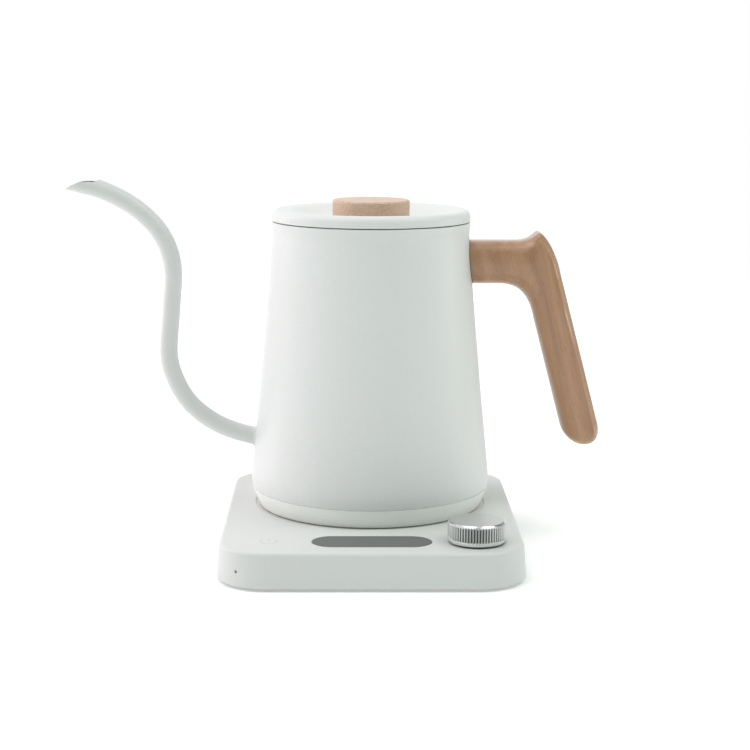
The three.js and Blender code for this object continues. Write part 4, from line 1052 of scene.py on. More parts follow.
# %% Kettle half of the coupler
CUP_BOTTOM, CUP_TOP = levels("kettle_coupler")
CUP_CEILING = CUP_TOP - 2.4 * MM
CUP_INSIDE = 18.6 * MM
CUP_OUTSIDE = 21.6 * MM
CUP_RIM = 25 * MM
cup = rounded([
    (0, CUP_CEILING),
    (CUP_INSIDE, CUP_CEILING, 0.6 * MM),
    (CUP_INSIDE, CUP_BOTTOM, 0.5 * MM),
    (CUP_OUTSIDE, CUP_BOTTOM, 0.5 * MM),
    (CUP_OUTSIDE, CUP_BOTTOM + 1.9 * MM),
    (CUP_RIM, CUP_BOTTOM + 1.9 * MM),
    (CUP_RIM, CUP_BOTTOM + 3.9 * MM),
    (CUP_OUTSIDE, CUP_BOTTOM + 3.9 * MM),
    (CUP_OUTSIDE, CUP_TOP, 0.6 * MM),
    (0, CUP_TOP),
])
piece("coupler_cup", turned(cup, KETTLE), "dark_plastic", "coupler", ["kettle_coupler"])
print("cup is", round((CUP_TOP - CUP_BOTTOM) / MM, 1), "mm high")

# %% Contacts
def sleeve(node, wall, name, body):
    """A thin brass ring with broken edges."""
    low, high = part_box(node)
    outer = (high.x - low.x) / 2
    edge = 0.15 * MM
    profile = rounded([
        (outer - wall, low.z, edge),
        (outer, low.z, edge),
        (outer, high.z, edge),
        (outer - wall, high.z, edge),
    ], closed=True, steps=3)
    return piece(name, turned(profile, KETTLE, 96, closed=True), "brass", body, [node])


for i in (1, 2):
    sleeve(f"base_contact_{i}", 0.5 * MM, f"slot_contact_{i}", "base")
    sleeve(f"coupler_ring_{i}", 0.6 * MM, f"ring_contact_{i}", "coupler")
PIN_RADIUS = 1.4 * MM
pin_bottom, pin_top = levels("coupler_pin")
pin = rounded([(0, pin_bottom), (PIN_RADIUS, pin_bottom, 0.7 * MM), (PIN_RADIUS, pin_top), (0, pin_top)])
piece("centre_pin", turned(pin, KETTLE, 40), "brass", "coupler", ["coupler_pin"])
print("four ring contacts and a pin placed")

# %% [markdown]
# ## Foot ring
#
# Under the steel body sits a moulded ring that slants in towards the base. Its side is a formula, so that
# the slant can be steepened with one number. Its flat underside has three screw wells and an opening for
# the coupler, built again as loops with a filled face between them. It sits in the body's shade, and its
# white is painted brighter than the base's plastic to lift that shade: painted light.

# %% Foot ring
RING_BOTTOM, RING_TOP = levels("foot_ring")
RING_RADIUS = 63.9 * MM
RING_DRAW = 1.9 * MM
RING_EASE = 2.0 * MM
RING_TOE = RING_RADIUS - RING_DRAW - RING_EASE
RING_SEAT = RING_RADIUS - 0.5 * MM
RING_MIDDLE = 22.2 * MM
RING_FLOOR = RING_BOTTOM + 2 * MM
RING_WELL = in_mm([(3.7, 0), (3.5, 0.15), (3.5, 1.2), (1.8, 1.2), (1.8, 2)])
STUDS = [middle(f"foot_ring_screw_{i}").xy for i in (1, 2, 3)]


def ring_side():
    """(radius, height) points up the outside of the foot ring."""
    height = RING_TOP - RING_BOTTOM
    return [(RING_RADIUS - RING_DRAW * (1 - t) ** 1.5 - RING_EASE * (1 - t), RING_BOTTOM + t * height)
            for t in np.linspace(0.05, 0.98, 18)]


def foot_ring():
    shape = bmesh.new()
    outside = [(RING_TOE - 2 * MM, RING_BOTTOM), (RING_TOE - 0.6 * MM, RING_BOTTOM)] + ring_side()
    outside += rounded([
        outside[-1],
        (RING_RADIUS, RING_TOP, 0.2 * MM),
        (RING_SEAT, RING_TOP),
        (RING_SEAT, BODY_BOTTOM - 0.02 * MM),
        (RING_RADIUS - 2 * MM, RING_TOP),
        (RING_RADIUS - 3.5 * MM, RING_FLOOR + 2.5 * MM),
        (RING_TOE - 2 * MM, RING_FLOOR),
    ])[1:]
    rows = stack(shape, outside, lambda radius: circle(radius, KETTLE, 192))
    edge = rounded([
        (RING_MIDDLE + 1 * MM, RING_BOTTOM),
        (RING_MIDDLE, RING_BOTTOM, 0.4 * MM),
        (RING_MIDDLE, RING_FLOOR),
    ])
    opening = stack(shape, edge, lambda radius: circle(radius, KETTLE, 96))
    join(shape, rows)
    join(shape, opening)
    lower, upper = [rows[0], opening[0]], [rows[-1], opening[-1]]
    for stud in STUDS:
        well = [(radius, RING_BOTTOM + z) for radius, z in RING_WELL]
        hole = stack(shape, well, lambda radius: circle(radius, stud, 40))
        join(shape, hole)
        lower.append(hole[0])
        upper.append(hole[-1])
    fill(shape, *lower)
    fill(shape, *upper)
    return shape


# Painted light: a brighter copy of the white plastic, lifting the shade that the body casts on the ring.
SHADE_LIFTED_PLASTIC = moulded("shade_lifted_white_plastic", colour(0.9, 0.9, 0.88), colour(0.87, 0.88, 0.86), 0.4)
piece("foot_cover_ring", foot_ring(), "white_plastic", "kettle", ["foot_ring"], finish=SHADE_LIFTED_PLASTIC)
print("foot ring is", round((RING_TOP - RING_BOTTOM) / MM, 1), "mm high")

# %% [markdown]
# ## Body
#
# The body is drawn sheet steel: a cone that bows in by a little over half a millimetre, with a rolled lip
# at the top and a collar that guides the lid. A turned outline gives all of it. The side is a formula
# rather than a list of points, because the spout, the gasket and the grip have to meet the same surface.
# Inside, the steel is bare, so the faces of the inner wall take brushed steel instead of the coat.

# %% Body shell
FOOT_RADIUS = 65.1 * MM
NECK_RADIUS = 51.9 * MM
WAIST = 0.6 * MM
BODY_WALL = 1.2 * MM
TUCK = 1.2 * MM
TUCK_HEIGHT = 8 * MM
LIP_HEIGHT = 4.1 * MM
LIP_RADIUS = 52.9 * MM
MOUTH_RADIUS = 45.9 * MM
COLLAR_BOTTOM = BODY_TOP - 8 * MM


def body_radius(z):
    share = (z - BODY_BOTTOM) / (BODY_TOP - BODY_BOTTOM)
    tuck = TUCK * max(0, 1 - (z - BODY_BOTTOM) / TUCK_HEIGHT) ** 2
    return FOOT_RADIUS - (FOOT_RADIUS - NECK_RADIUS) * share - WAIST * math.sin(math.pi * share) - tuck


def ease(t):
    """A smooth rise from 0 to 1."""
    t = min(1, max(0, t))
    return t * t * (3 - 2 * t)


def body_profile():
    side = []
    for z in np.linspace(BODY_BOTTOM + 0.6 * MM, BODY_TOP - 0.7 * MM, 56):
        flare = (LIP_RADIUS - NECK_RADIUS) * ease((z - BODY_TOP + 1.6 * LIP_HEIGHT) / (1.45 * LIP_HEIGHT))
        side.append((body_radius(z) + flare, z))
    inside = [(body_radius(z) - BODY_WALL, z) for z in np.linspace(BODY_TOP - 6 * MM, BODY_BOTTOM, 24)]
    foot = rounded([inside[-1], (body_radius(BODY_BOTTOM), BODY_BOTTOM, 0.3 * MM), side[0]])[1:-1]
    rim = rounded([
        side[-1],
        (LIP_RADIUS, BODY_TOP, 0.6 * MM),
        (MOUTH_RADIUS, BODY_TOP, 0.8 * MM),
        (MOUTH_RADIUS, COLLAR_BOTTOM, 0.5 * MM),
        (MOUTH_RADIUS + BODY_WALL, COLLAR_BOTTOM, 0.4 * MM),
        (MOUTH_RADIUS + BODY_WALL, BODY_TOP - BODY_WALL),
        (LIP_RADIUS - BODY_WALL, BODY_TOP - BODY_WALL),
        inside[0],
    ])[1:-1]
    return foot + side + rim + inside


def body_wall():
    """The turned wall; its faces inside the kettle take the lining."""
    shape = turned(body_profile(), KETTLE, 224, closed=True)
    for face in shape.faces:
        here = face.calc_center_median()
        away = (here.xy - KETTLE).length
        if here.z < BODY_TOP - 1 * MM and away < body_radius(here.z) - BODY_WALL / 2:
            face.material_index = 1
    return shape


body = piece("body_wall", body_wall(), "white_coat", "kettle", ["body_shell"], lining=FINISHES["steel"])
print("body:", len(body.data.polygons), "faces")

# %% [markdown]
# ## Inside the kettle
#
# With the lid off, the heating plate and the temperature probe show at the bottom. The plate is a shallow
# pressed dish, so its flat middle is filled round the probe's hole. The probe is a closed steel tube.

# %% Heating plate and probe
PLATE_BOTTOM_EDGE, PLATE_FACE = levels("heater_plate")
PROBE = middle("temperature_probe").xy
PROBE_BOTTOM, PROBE_TOP = levels("temperature_probe")
DISHED = 0.8 * MM
PROBE_HOLE = 2.9 * MM


def heating_plate():
    shape = bmesh.new()
    rim = body_radius(PLATE_BOTTOM_EDGE) - BODY_WALL - 0.3 * MM
    under = PLATE_FACE - 1.5 * MM
    profile = rounded([
        (rim - 8 * MM, PLATE_FACE - DISHED),
        (rim - 5 * MM, PLATE_FACE - DISHED, 2 * MM),
        (rim - 3 * MM, PLATE_FACE, 1.5 * MM),
        (rim, PLATE_FACE, 0.4 * MM),
        (rim, PLATE_BOTTOM_EDGE),
        (rim - 1.5 * MM, PLATE_BOTTOM_EDGE),
        (rim - 1.5 * MM, under),
        (rim - 6 * MM, under),
    ])
    rows = stack(shape, profile, lambda radius: circle(radius, KETTLE, 160))
    through = [(PROBE_HOLE, PLATE_FACE - DISHED), (PROBE_HOLE, under)]
    hole = stack(shape, through, lambda radius: circle(radius, PROBE, 40))
    join(shape, rows)
    join(shape, hole)
    fill(shape, rows[0], hole[0])
    fill(shape, rows[-1], hole[-1])
    return shape


piece("heating_plate", heating_plate(), "steel", "kettle", ["heater_plate"])
FLARE_TOP = PROBE_BOTTOM + 3 * MM
probe = rounded([
    (0, PROBE_BOTTOM),
    (4.2 * MM, PROBE_BOTTOM, 0.4 * MM),
    (4.2 * MM, FLARE_TOP, 0.4 * MM),
    (2.6 * MM, FLARE_TOP),
    (2.6 * MM, PROBE_TOP - 1 * MM, 1.6 * MM),
    (0, PROBE_TOP),
])
piece("probe_tube", turned(probe, PROBE, 48), "steel", "kettle", ["temperature_probe"])
print("probe stands", round((PROBE_TOP - PLATE_FACE) / MM, 1), "mm above the plate")

# %% [markdown]
# ## Gooseneck spout
#
# The spout is a thin steel tube, bent into a long S and cut open at its end into a small beak. A curve
# with a round bevel would make the tube, but not its two ends: at the root each line of the tube has to
# stop on the curved body, with a small weld fillet, and at the beak each line has to stop on the cut. So
# every lengthwise line is walked on its own, from where it leaves the body to where it meets the cut. The
# last stretch before the cut has rows of its own, so that the beak's edge stays crisp. Inside, the bare
# steel is tinted near black: painted shade for the dark inside of the tube.

# %% The spout's centre line
SPOUT_RADIUS = 4.775 * MM
SPOUT_WALL = 0.8 * MM
SPOUT_LEVEL = BODY_BOTTOM + 25.8 * MM
SPOUT_SIDE = body_radius(SPOUT_LEVEL)

# Reach past the body's side, and height above the root for the lower bend or above the lip for the upper.
SPOUT_FOOT = in_mm([(-6.4, -1.6), (8.6, 1.9), (19.1, 5.9), (28.1, 11.5), (36.1, 19), (42.6, 30), (46.3, 43)])
SPOUT_NECK = in_mm([(44.7, -47), (43.5, -28), (45.4, -16.5), (49.9, -6.7), (57, 1.6), (65.2, 8.2),
                    (74, 13.2), (83.7, 17.1), (92.6, 19.4), (102.6, 21.9)])
BEAK = in_mm([(79.8, 24.7), (83.5, 20.6), (87.5, 20.6), (91.6, 20.2), (95.6, 18.9), (99.2, 16.9),
              (101.5, 15)])


def smooth_line(points, count):
    """Evenly spaced points on a Catmull-Rom curve whose knots are spaced by the chords' square roots."""
    points = [np.array(p, float) for p in points]
    points = [2 * points[0] - points[1]] + points + [2 * points[-1] - points[-2]]
    fine = []
    for p0, p1, p2, p3 in zip(points, points[1:], points[2:], points[3:]):
        t0 = 0.0
        t1 = t0 + np.linalg.norm(p1 - p0) ** 0.5
        t2 = t1 + np.linalg.norm(p2 - p1) ** 0.5
        t3 = t2 + np.linalg.norm(p3 - p2) ** 0.5
        for t in np.linspace(t1, t2, 24, endpoint=False):
            a1 = (t1 - t) / (t1 - t0) * p0 + (t - t0) / (t1 - t0) * p1
            a2 = (t2 - t) / (t2 - t1) * p1 + (t - t1) / (t2 - t1) * p2
            a3 = (t3 - t) / (t3 - t2) * p2 + (t - t2) / (t3 - t2) * p3
            b1 = (t2 - t) / (t2 - t0) * a1 + (t - t0) / (t2 - t0) * a2
            b2 = (t3 - t) / (t3 - t1) * a2 + (t - t1) / (t3 - t1) * a3
            fine.append((t2 - t) / (t2 - t1) * b1 + (t - t1) / (t2 - t1) * b2)
    fine = np.array(fine + [points[-2]])
    run = np.concatenate([[0], np.cumsum(np.linalg.norm(np.diff(fine, axis=0), axis=1))])
    even = np.linspace(0, run[-1], count)
    return np.stack([np.interp(even, run, fine[:, k]) for k in range(fine.shape[1])], axis=1), run[-1]


route = [(-SPOUT_SIDE - reach, SPOUT_LEVEL + rise) for reach, rise in SPOUT_FOOT]
route += [(-SPOUT_SIDE - reach, BODY_TOP + rise) for reach, rise in SPOUT_NECK]
SPOUT_LINE, SPOUT_LENGTH = smooth_line(route, 600)
BEAK_LINE = [(-SPOUT_SIDE - reach, BODY_TOP + rise) for reach, rise in BEAK]
print("spout's centre line is", round(SPOUT_LENGTH / MM), "mm long")

# %% Where each line of the spout starts and ends
ROOT_ZONE = 0.1
BEAK_ZONE = 0.85
BEAK_SMOOTH = smooth_line(BEAK_LINE, 80)[0]


def spout_point(share, angle, radius):
    """A point of the tube in the kettle's own frame: share runs from root to tip, angle 0 is up."""
    at = share * (len(SPOUT_LINE) - 1)
    i = min(int(at), len(SPOUT_LINE) - 2)
    here = SPOUT_LINE[i] + (SPOUT_LINE[i + 1] - SPOUT_LINE[i]) * (at - i)
    low, high = max(i - 3, 0), min(i + 4, len(SPOUT_LINE) - 1)
    along = SPOUT_LINE[high] - SPOUT_LINE[low]
    along /= np.linalg.norm(along)
    up = np.array((along[1], -along[0]))
    x, z = here + up * radius * math.cos(angle)
    return np.array((x, radius * math.sin(angle), z))


def past_beak(point):
    """Whether a point lies above the beak's cut."""
    x, _, z = point
    if x > BEAK_SMOOTH[0][0]:
        return False
    cut_line = np.interp(-x, -BEAK_SMOOTH[:, 0], BEAK_SMOOTH[:, 1])
    return z > cut_line or x < BEAK_SMOOTH[-1][0]


def outside_body(point):
    x, y, z = point
    return math.hypot(x, y) > body_radius(z) - 0.3 * MM


def crossing(test, low, high, angle, radius):
    """The share at which a line of the tube first passes a test, by halving."""
    for _ in range(26):
        mid = (low + high) / 2
        if test(spout_point(mid, angle, radius)):
            high = mid
        else:
            low = mid
    return high


top_line_end = crossing(past_beak, BEAK_ZONE, 1.0, 0, SPOUT_RADIUS)
print("the cut starts", round((1 - top_line_end) * SPOUT_LENGTH / MM, 1), "mm before the tip")

# %% The spout's skin, line by line
SPOUT_SIDES = 56
SPOUT_ROWS = 150
WELD_FILLET = 1.3 * MM
LONG_PART = 0.9
LONG_PART_ROWS = 0.85


def share_of_row(step, start, end):
    """Where a row crosses a line that runs from start to end; the last rows share out its last stretch."""
    if end < LONG_PART:
        return start + (end - start) * step
    if step < LONG_PART_ROWS:
        return start + (LONG_PART - start) * step / LONG_PART_ROWS
    return LONG_PART + (end - LONG_PART) * (step - LONG_PART_ROWS) / (1 - LONG_PART_ROWS)


def spout_skin(shape, radius, fillet):
    """Rings of the tube's skin; each line runs from the body to the beak's cut."""
    spans = []
    for k in range(SPOUT_SIDES):
        angle = 2 * math.pi * k / SPOUT_SIDES
        start = crossing(outside_body, 0, ROOT_ZONE, angle, radius)
        end = crossing(past_beak, BEAK_ZONE, 1.0, angle, radius)
        spans.append((angle, start, end))
    rows = []
    for step in np.linspace(0, 1, SPOUT_ROWS):
        row = []
        for angle, start, end in spans:
            share = share_of_row(step, start, end)
            x, y, z = spout_point(share, angle, radius)
            gap = math.hypot(x, y) - body_radius(z)
            if fillet and gap < fillet:
                swell = fillet * (1 - math.sqrt(max(0, 1 - (1 - max(gap, 0) / fillet) ** 2)))
                x, y, z = spout_point(share, angle, radius + swell)
            row.append(shape.verts.new((KETTLE.x + x, KETTLE.y + y, z)))
        rows.append(row)
    return rows


def spout():
    shape = bmesh.new()
    outer = spout_skin(shape, SPOUT_RADIUS, WELD_FILLET)
    inner = spout_skin(shape, SPOUT_RADIUS - SPOUT_WALL, 0)
    join(shape, inner)
    for face in shape.faces:
        face.material_index = 1
    join(shape, outer)
    join(shape, [outer[-1], inner[-1]])
    join(shape, [outer[0], inner[0]])
    return shape


print("the skin has", SPOUT_SIDES, "lines of", SPOUT_ROWS, "points")

# %% Gooseneck
# Painted shade: the inside of the tube is tinted near black for the shade inside it.
def painted_shade_lining():
    finish = Finish("spout_painted_shade_lining")
    cloud = finish.noise(3 * MM, detail=3)
    tint = finish.mix(cloud, colour(0.2, 0.17, 0.15), colour(0.1, 0.08, 0.07))
    normal = finish.bump(cloud, 0.02 * MM)
    return finish.surface(Base_Color=tint, Metallic=0.6, Roughness=0.4 + 0.2 * cloud, Normal=normal)


# Painted shade: the spout's coat is a greyer copy of the body's coat.
SPOUT_SHADED_COAT = powder_coat("spout_shaded_powder_coat", colour(0.68, 0.67, 0.67), colour(0.65, 0.67, 0.655))
tube = piece("gooseneck", spout(), "white_coat", "kettle", ["spout_tube"], SPOUT_SHADED_COAT, 50, painted_shade_lining())
print("gooseneck:", len(tube.data.polygons), "faces")

# %% [markdown]
# ## Beech grip
#
# The grip is bandsawn from a board to its side view, then shaped by hand: the arm and the inner side are
# rounded for the fingers, and a crisp bevel runs down the back from a sharp peak. The mesh is made the
# same way. Rungs join the outer edge to the inner edge of the side view, and each point of a rung is
# raised by a height that depends only on its distance from the nearest edge: a round shoulder by most
# edges, a straight bevel by the back.

# %% The grip's side view
ARM_TOP = BODY_TOP - 10 * MM
ARM_HEIGHT = 23 * MM
ARM_SIDE = body_radius(ARM_TOP - ARM_HEIGHT / 2)
GRIP_HALF = 12 * MM


def bezier(start, first, second, end, count):
    """Points on a cubic curve, without its last point."""
    t = np.linspace(0, 1, count, endpoint=False)[:, None]
    a, b, c, d = (np.array(p, float) for p in (start, first, second, end))
    return (1 - t) ** 3 * a + 3 * (1 - t) ** 2 * t * b + 3 * (1 - t) * t ** 2 * c + t ** 3 * d


def straight(start, end, count):
    return bezier(start, start, end, end, count)


def grip_edges():
    """The outer and the inner edge from the body to the bottom of the grip, with as many points each."""
    counts = (22, 14, 22, 46, 26)
    peak = 8
    outer = [
        straight((0, 0), (24.4, 0), counts[0]),
        bezier((24.4, 0), (30.2, 0.4), (32.2, 2.1), (34.1, 3.6), counts[1]),
        bezier((34.1, 3.6), (35.5, 4.8), (36.7, 4.7), (37.9, 3.4), peak),
        bezier((37.9, 3.4), (41.8, -0.6), (45.4, -8.1), (47.4, -16.4), counts[2] - peak),
        straight((47.4, -16.4), (68.9, -96.9), counts[3]),
        bezier((68.9, -96.9), (71.1, -104.2), (70.2, -110.5), (62.4, -110.5), counts[4]),
    ]
    inner = [
        straight((0, -23), (16.4, -23), counts[0]),
        bezier((16.4, -23), (25.9, -23.4), (31.6, -29.6), (34, -40.8), counts[1] + counts[2]),
        straight((34, -40.8), (49.4, -98.7), counts[3]),
        bezier((49.4, -98.7), (51.2, -106.6), (56.9, -110.5), (62.4, -110.5), counts[4]),
    ]
    last = np.array([(62.4, -110.5)])
    edges = [np.concatenate(rows + [last]) * MM + (ARM_SIDE, ARM_TOP) for rows in (outer, inner)]
    return edges[0], edges[1], np.cumsum(counts)


OUTER, INNER, JOINTS = grip_edges()
print("grip has", len(OUTER), "rungs")

# %% Height of the grip's surface
BEVEL_DEPTH = 2.9 * MM
BEVEL_DROP = 4.2 * MM
CROWN = 0.8 * MM
CROWN_REACH = 10 * MM
EDGE = np.concatenate([OUTER, INNER[::-1][1:]])


def edge_kinds():
    """At each point of the edge: how far it is bevelled, and the radius of its round shoulder."""
    kinds = []
    for i in range(len(OUTER)):
        on_back = ease((i - JOINTS[1]) / 3) * (1 - ease((i - JOINTS[3] - 4) / 12))
        past_arm = ease((i - JOINTS[1] + 8) / 8)
        kinds.append((on_back, (8 - 2 * past_arm) * MM))
    for i in range(len(INNER))[::-1][1:]:
        past_arm = ease((i - JOINTS[0]) / 24)
        tail = ease((i - JOINTS[3]) / (len(INNER) - 1 - JOINTS[3]))
        kinds.append((0, (9 + 2 * past_arm - 5 * tail) * MM))
    return np.array(kinds)


EDGE_KIND = edge_kinds()


def nearest_edge(point):
    """The distance to the side view's edge, and the shape of the edge there."""
    starts, ends = EDGE[:-1], EDGE[1:]
    along = ends - starts
    share = np.clip(((point - starts) * along).sum(1) / np.maximum((along ** 2).sum(1), 1e-18), 0, 1)
    away = np.linalg.norm(starts + along * share[:, None] - point, axis=1)
    i = int(away.argmin())
    kind = EDGE_KIND[i] * (1 - share[i]) + EDGE_KIND[i + 1] * share[i]
    return away[i], kind


def grip_height(point):
    """Half the grip's thickness at a point of its side view."""
    away, (bevelled, radius) = nearest_edge(point)
    shoulder = radius * (1 - math.sqrt(max(0, 1 - (1 - min(away / radius, 1)) ** 2)))
    lean = max(0, 1 - away / BEVEL_DEPTH)
    bevel = BEVEL_DROP * (0.78 * lean + 0.22 * (1 - math.sqrt(max(0, 1 - lean * lean))))
    crown = CROWN * (1 - min(away / CROWN_REACH, 1)) ** 2
    return GRIP_HALF - crown - bevelled * bevel - (1 - bevelled) * shoulder


print("the grip's edge has", len(EDGE), "points")

# %% Grip
def rung(edge, core):
    """Points from the edge to the middle of the grip, closer together near the edge."""
    length = np.linalg.norm(core - edge)
    marks = [0, 0.04, 0.2, 0.5, 0.95, 1.5, 2.15, BEVEL_DEPTH / MM, 3.8, 5, 6.4, 8]
    inset = [min(mark * MM, length) for mark in marks]
    return [edge + (core - edge) * (d / max(length, 1e-9)) for d in inset] + [core]


def grip():
    """Rungs from edge to edge, front and back; the arm's rungs stretch to end on the curved body."""
    shape = bmesh.new()
    arm_end = OUTER[JOINTS[0]][0]
    sections = []
    for i, (outer, inner) in enumerate(zip(OUTER, INNER)):
        core = (outer + inner) / 2
        line = rung(outer, core) + rung(inner, core)[::-1][1:]
        section = []
        for side in (1, -1):
            for x, z in line[::side]:
                y = side * grip_height(np.array((x, z)))
                if i <= JOINTS[0]:
                    wall = math.sqrt((body_radius(z) + 0.3 * MM) ** 2 - y * y)
                    x = wall + (x - ARM_SIDE) * (arm_end - wall) / (arm_end - ARM_SIDE)
                section.append(shape.verts.new((KETTLE.x + x, KETTLE.y + y, z)))
        sections.append(section)
    join(shape, sections)
    shape.faces.new(sections[0])
    return shape


handle = piece("beech_grip", grip(), "wood", "kettle", ["handle_grip"], crisp=24)
print("grip:", len(handle.data.polygons), "faces")

# %% Gasket between the arm and the body
GASKET_INSET = 0.35 * MM
# A real spacer, tinted near black so that it also paints the shade where the arm meets the body.
GASKET_SHADE_RUBBER = dusty("gasket_painted_shade", colour(0.05, 0.045, 0.04), colour(0.08, 0.07, 0.06), 0.7)


def gasket():
    """The arm's end outline, drawn in a little and following the body's curve."""
    shape = bmesh.new()
    section = []
    for side in (1, -1):
        for share in np.linspace(0, 1, 30)[::side]:
            level = ARM_TOP - ARM_HEIGHT + GASKET_INSET + share * (ARM_HEIGHT - 2 * GASKET_INSET)
            y = side * (grip_height(np.array((ARM_SIDE, level))) - GASKET_INSET)
            section.append((y, level))
    rows = []
    for stand in (0.02 * MM, 0.45 * MM):
        row = [(math.sqrt((body_radius(z) + stand) ** 2 - y * y), y, z) for y, z in section]
        rows.append([shape.verts.new((KETTLE.x + x, KETTLE.y + y, z)) for x, y, z in row])
    join(shape, rows)
    for row in rows:
        for i in range(len(section) // 2 - 1):
            shape.faces.new((row[i], row[i + 1], row[-2 - i], row[-1 - i]))
    return shape


piece("arm_gasket", gasket(), "silicone", "kettle", ["handle_gasket"], finish=GASKET_SHADE_RUBBER)
print("gasket follows the body under the arm")

# %% [markdown]
# ## Lid
#
# The lid is a pressed steel cap with a soft shoulder and a shallow dish for the knob. A moulded inner
# cover plugs the mouth, with a silicone seal round it and three vents. The knob is a beech disc, turned
# with its grain lying sideways, so its beech has the field of grain laid down. A dish could be pushed into
# a flat disc by sculpting, but one turned outline keeps the sheet equally thick from dish to rim.

# %% Lid shell
LID_BOTTOM, LID_TOP = levels("lid_shell")
DISH_FLOOR = LID_TOP - 4.2 * MM
DISH_RADIUS = 27 * MM
DISH_RIM = 46.4 * MM
RIM_TOP = LID_TOP - 0.15 * MM
LID_WALL = 1.2 * MM
LID_SHOULDER = 3.4 * MM


def lid_profile():
    """Round the shell from the middle of its underside to the middle of its top."""
    shoulder = rounded([
        (LIP_RADIUS, LID_BOTTOM),
        (LIP_RADIUS - 0.1 * MM, LID_TOP, LID_SHOULDER),
        (DISH_RIM, RIM_TOP),
    ], steps=12)
    bowl = []
    for t in np.linspace(0, 1, 20):
        bowl.append((DISH_RIM + (DISH_RADIUS - DISH_RIM) * t, RIM_TOP - (RIM_TOP - DISH_FLOOR) * ease(t)))
    under = [(radius, z - LID_WALL) for radius, z in bowl[::-1]]
    inside = rounded([
        under[-1],
        (LIP_RADIUS - 1.3 * MM, LID_TOP - 1.3 * MM, LID_SHOULDER - 1.1 * MM),
        (LIP_RADIUS - LID_WALL, LID_BOTTOM),
    ], steps=10)
    hem = rounded([inside[-1], (LIP_RADIUS, LID_BOTTOM, 0.3 * MM), shoulder[1]])[1:-1]
    underside = [(0, DISH_FLOOR - LID_WALL)] + under + inside[1:]
    return underside + hem + shoulder[1:] + bowl[1:] + [(0, DISH_FLOOR)]


piece("lid_cap", turned(lid_profile(), KETTLE, 192), "white_coat", "lid", ["lid_shell"])
print("lid dish is", round((LID_TOP - DISH_FLOOR) / MM, 1), "mm deep")

# %% Knob
KNOB_BOTTOM, KNOB_TOP = levels("lid_knob")
KNOB_RADIUS = 20.7 * MM
INSERT_HOLE = 3.7 * MM
HOLE_ROOF = KNOB_TOP - 2.5 * MM
knob = rounded([
    (0, HOLE_ROOF),
    (INSERT_HOLE, HOLE_ROOF),
    (INSERT_HOLE, KNOB_BOTTOM),
    (KNOB_RADIUS - 0.2 * MM, KNOB_BOTTOM, 0.8 * MM),
    (KNOB_RADIUS, KNOB_TOP, 1.4 * MM),
    (0, KNOB_TOP),
], steps=8)
piece("knob_disc", turned(knob, KETTLE, 160), "wood", "lid", ["lid_knob"], finish=KNOB_BEECH_PAINTED_PALER)
print("knob is", round(2 * KNOB_RADIUS / MM, 1), "mm across")

# %% Inner cover
PLUG_BOTTOM, PLUG_TOP = levels("lid_inner")
PLUG_RADIUS = MOUTH_RADIUS - 1.3 * MM
PLUG_WALL = 1.4 * MM
PLUG_RIM = 51 * MM
VENT_RADIUS = 1.6 * MM
VENTS = [(KETTLE.x, KETTLE.y + offset * MM) for offset in (-31, -22, -13)]


def inner_cover():
    shape = bmesh.new()
    side = rounded([
        (PLUG_RADIUS - 6 * MM, PLUG_BOTTOM),
        (PLUG_RADIUS, PLUG_BOTTOM, 1.4 * MM),
        (PLUG_RADIUS, BODY_TOP + 0.3 * MM, 0.4 * MM),
        (PLUG_RIM, BODY_TOP + 0.3 * MM, 0.3 * MM),
        (PLUG_RIM, PLUG_TOP, 0.3 * MM),
        (PLUG_RADIUS - PLUG_WALL, PLUG_TOP),
        (PLUG_RADIUS - PLUG_WALL, PLUG_BOTTOM + PLUG_WALL),
        (PLUG_RADIUS - 6 * MM, PLUG_BOTTOM + PLUG_WALL),
    ])
    rows = stack(shape, side, lambda radius: circle(radius, KETTLE, 160))
    join(shape, rows)
    lower, upper = [rows[0]], [rows[-1]]
    vent = [
        (VENT_RADIUS + 0.3 * MM, PLUG_BOTTOM),
        (VENT_RADIUS, PLUG_BOTTOM + 0.3 * MM),
        (VENT_RADIUS, PLUG_BOTTOM + PLUG_WALL),
    ]
    for centre in VENTS:
        hole = stack(shape, vent, lambda radius: circle(radius, centre, 32))
        join(shape, hole)
        lower.append(hole[0])
        upper.append(hole[-1])
    fill(shape, *lower)
    fill(shape, *upper)
    return shape


piece("inner_cover", inner_cover(), "white_plastic", "lid", ["lid_inner"])
print("inner cover has", len(VENTS), "vents")

# %% Seal
seal_bottom, seal_top = levels("lid_seal")
SEAL_INSIDE = PLUG_RADIUS + 0.2 * MM
SEAL_LIP = MOUTH_RADIUS - 0.3 * MM
seal = rounded([
    (SEAL_INSIDE, seal_bottom),
    (SEAL_LIP - 0.3 * MM, seal_bottom, 0.3 * MM),
    (SEAL_LIP, (seal_bottom + seal_top) / 2, 1 * MM),
    (SEAL_LIP - 0.3 * MM, seal_top, 0.3 * MM),
    (SEAL_INSIDE, seal_top),
], closed=True, steps=4)
piece("lip_seal", turned(seal, KETTLE, 128, closed=True), "silicone", "lid", ["lid_seal"])
print("seal is", round(2 * SEAL_LIP / MM, 1), "mm across")

# %% [markdown]
# ## Floor and studio light
#
# A kettle is shown best on white paper that runs on behind it with no horizon. A curved sheet would do
# that from one side only. So a round pale floor lies under a white surround, and glows a little, more
# towards its rim, where it meets the white. The surround darkens to a grey green at the front right. Four
# soft panels add to it: one at the left, a narrow one at the right and two overhead. The white sides then
# fall off towards the middle and brighten again at both edges, which makes a round white body look round.

# %% Floor
FLOOR_RADIUS = 1.3


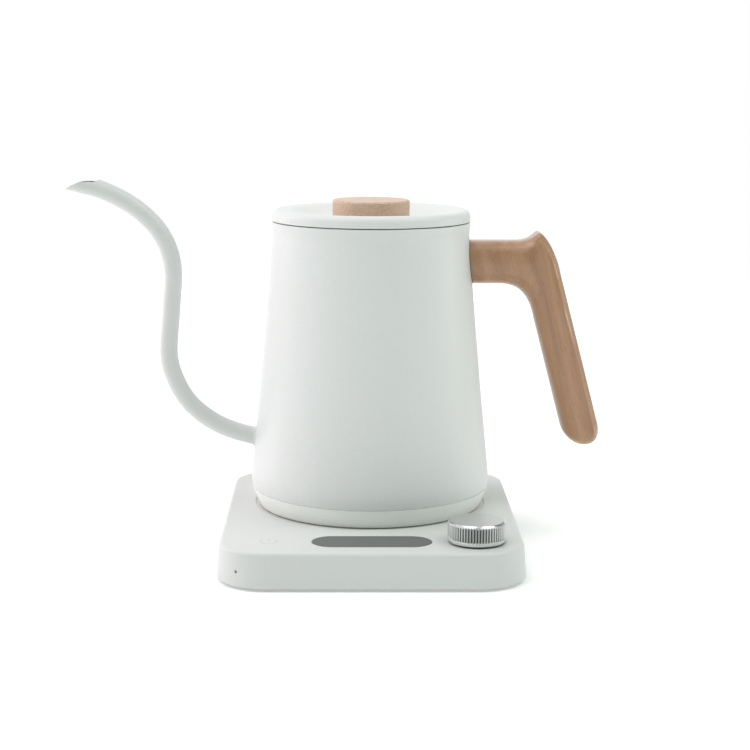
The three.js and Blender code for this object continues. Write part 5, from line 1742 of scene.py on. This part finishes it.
def floor_finish():
    finish = Finish("pale_floor")
    cloud = finish.noise(0.6)
    tint = finish.mix(cloud, colour(0.86, 0.86, 0.86), colour(0.84, 0.84, 0.84))
    x, y, _ = finish.split(finish.place)
    outward = finish.step(x * x + y * y, 0.2, 1.4)
    glow = finish.mix(outward, colour(0.22, 0.22, 0.22), colour(0.6, 0.6, 0.6))
    return finish.surface(Base_Color=tint, Roughness=0.9, Specular_IOR_Level=0.0,
                          Emission_Color=glow, Emission_Strength=1.0)


floor_mesh = bpy.data.meshes.new("floor")
floor_shape = turned([(0, 0), (0.6, 0), (FLOOR_RADIUS, 0)], (0, 0), 64)
floor_shape.to_mesh(floor_mesh)
floor_shape.free()
floor_mesh.materials.append(floor_finish())
floor = bpy.data.objects.new("floor", floor_mesh)
bpy.context.scene.collection.objects.link(floor)
floor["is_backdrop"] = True
print("floor is", 2 * FLOOR_RADIUS, "m across")

# %% Surround and light panels
DARK_SIDE = Vector((0.85, -0.5, 0.08))
AIM = Vector((0, 0, 0.1))


def surround():
    """White all round, but a grey green towards the dark side."""
    world = bpy.data.worlds.new("surround")
    bpy.context.scene.world = world
    sky = Finish("surround", world)
    towards = sky.node("ShaderNodeVectorMath", {"operation": "DOT_PRODUCT"}, {0: sky.place, 1: DARK_SIDE},
                       "Value")
    stops = ((0, colour(1.0, 1.0, 1.0)), (1, colour(0.2, 0.28, 0.24)))
    shade = sky.node("ShaderNodeValToRGB", {"stops": stops}, {"Fac": sky.step(towards, -0.4, 0.6)})
    light = sky.node("ShaderNodeBackground", None, {"Color": shade, "Strength": 1.02})
    sky.node("ShaderNodeOutputWorld", None, {"Surface": light})


def panel(name, place, size, power, tint):
    """A soft light panel aimed at the middle of the kettle."""
    data = bpy.data.lights.new(name, "AREA")
    data.shape = "RECTANGLE"
    data.size, data.size_y = size
    data.energy = power
    data.color = tint
    light = bpy.data.objects.new(name, data)
    light.location = place
    light.rotation_euler = (AIM - Vector(place)).to_track_quat("-Z", "Y").to_euler()
    bpy.context.scene.collection.objects.link(light)


surround()
panel("left_panel", (-1.35, 0.55, 0.5), (0.5, 1.2), 6.2, (1.0, 0.88, 0.94))
panel("edge_panel", (1.4, 0.22, 0.36), (0.28, 0.6), 3.0, (1.0, 0.94, 0.93))
panel("overhead_left", (-0.4, -0.2, 1.6), (0.9, 0.9), 5.5, (1.0, 0.985, 0.99))
panel("overhead_right", (0.85, -0.25, 1.5), (0.9, 0.9), 9, (0.985, 1.0, 0.99))
scene = bpy.context.scene
scene.view_settings.view_transform = "Standard"
scene.view_settings.look = "None"
scene.view_settings.exposure = 0.0
print("lit by the surround and four panels")

# %% [markdown]
# ## Sizes
#
# Both boxes, the mechanical model's and the looks', are printed side by side. The looks may not outgrow
# the mechanical model.

# %% Print the boxes and finish
sizes = {
    "cad": [list(corner) for corner in cad_box],
    "visual": [list(corner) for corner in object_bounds()],
}
for name, (low, high) in sizes.items():
    print(name, [round((b - a) / MM, 2) for a, b in zip(low, high)])
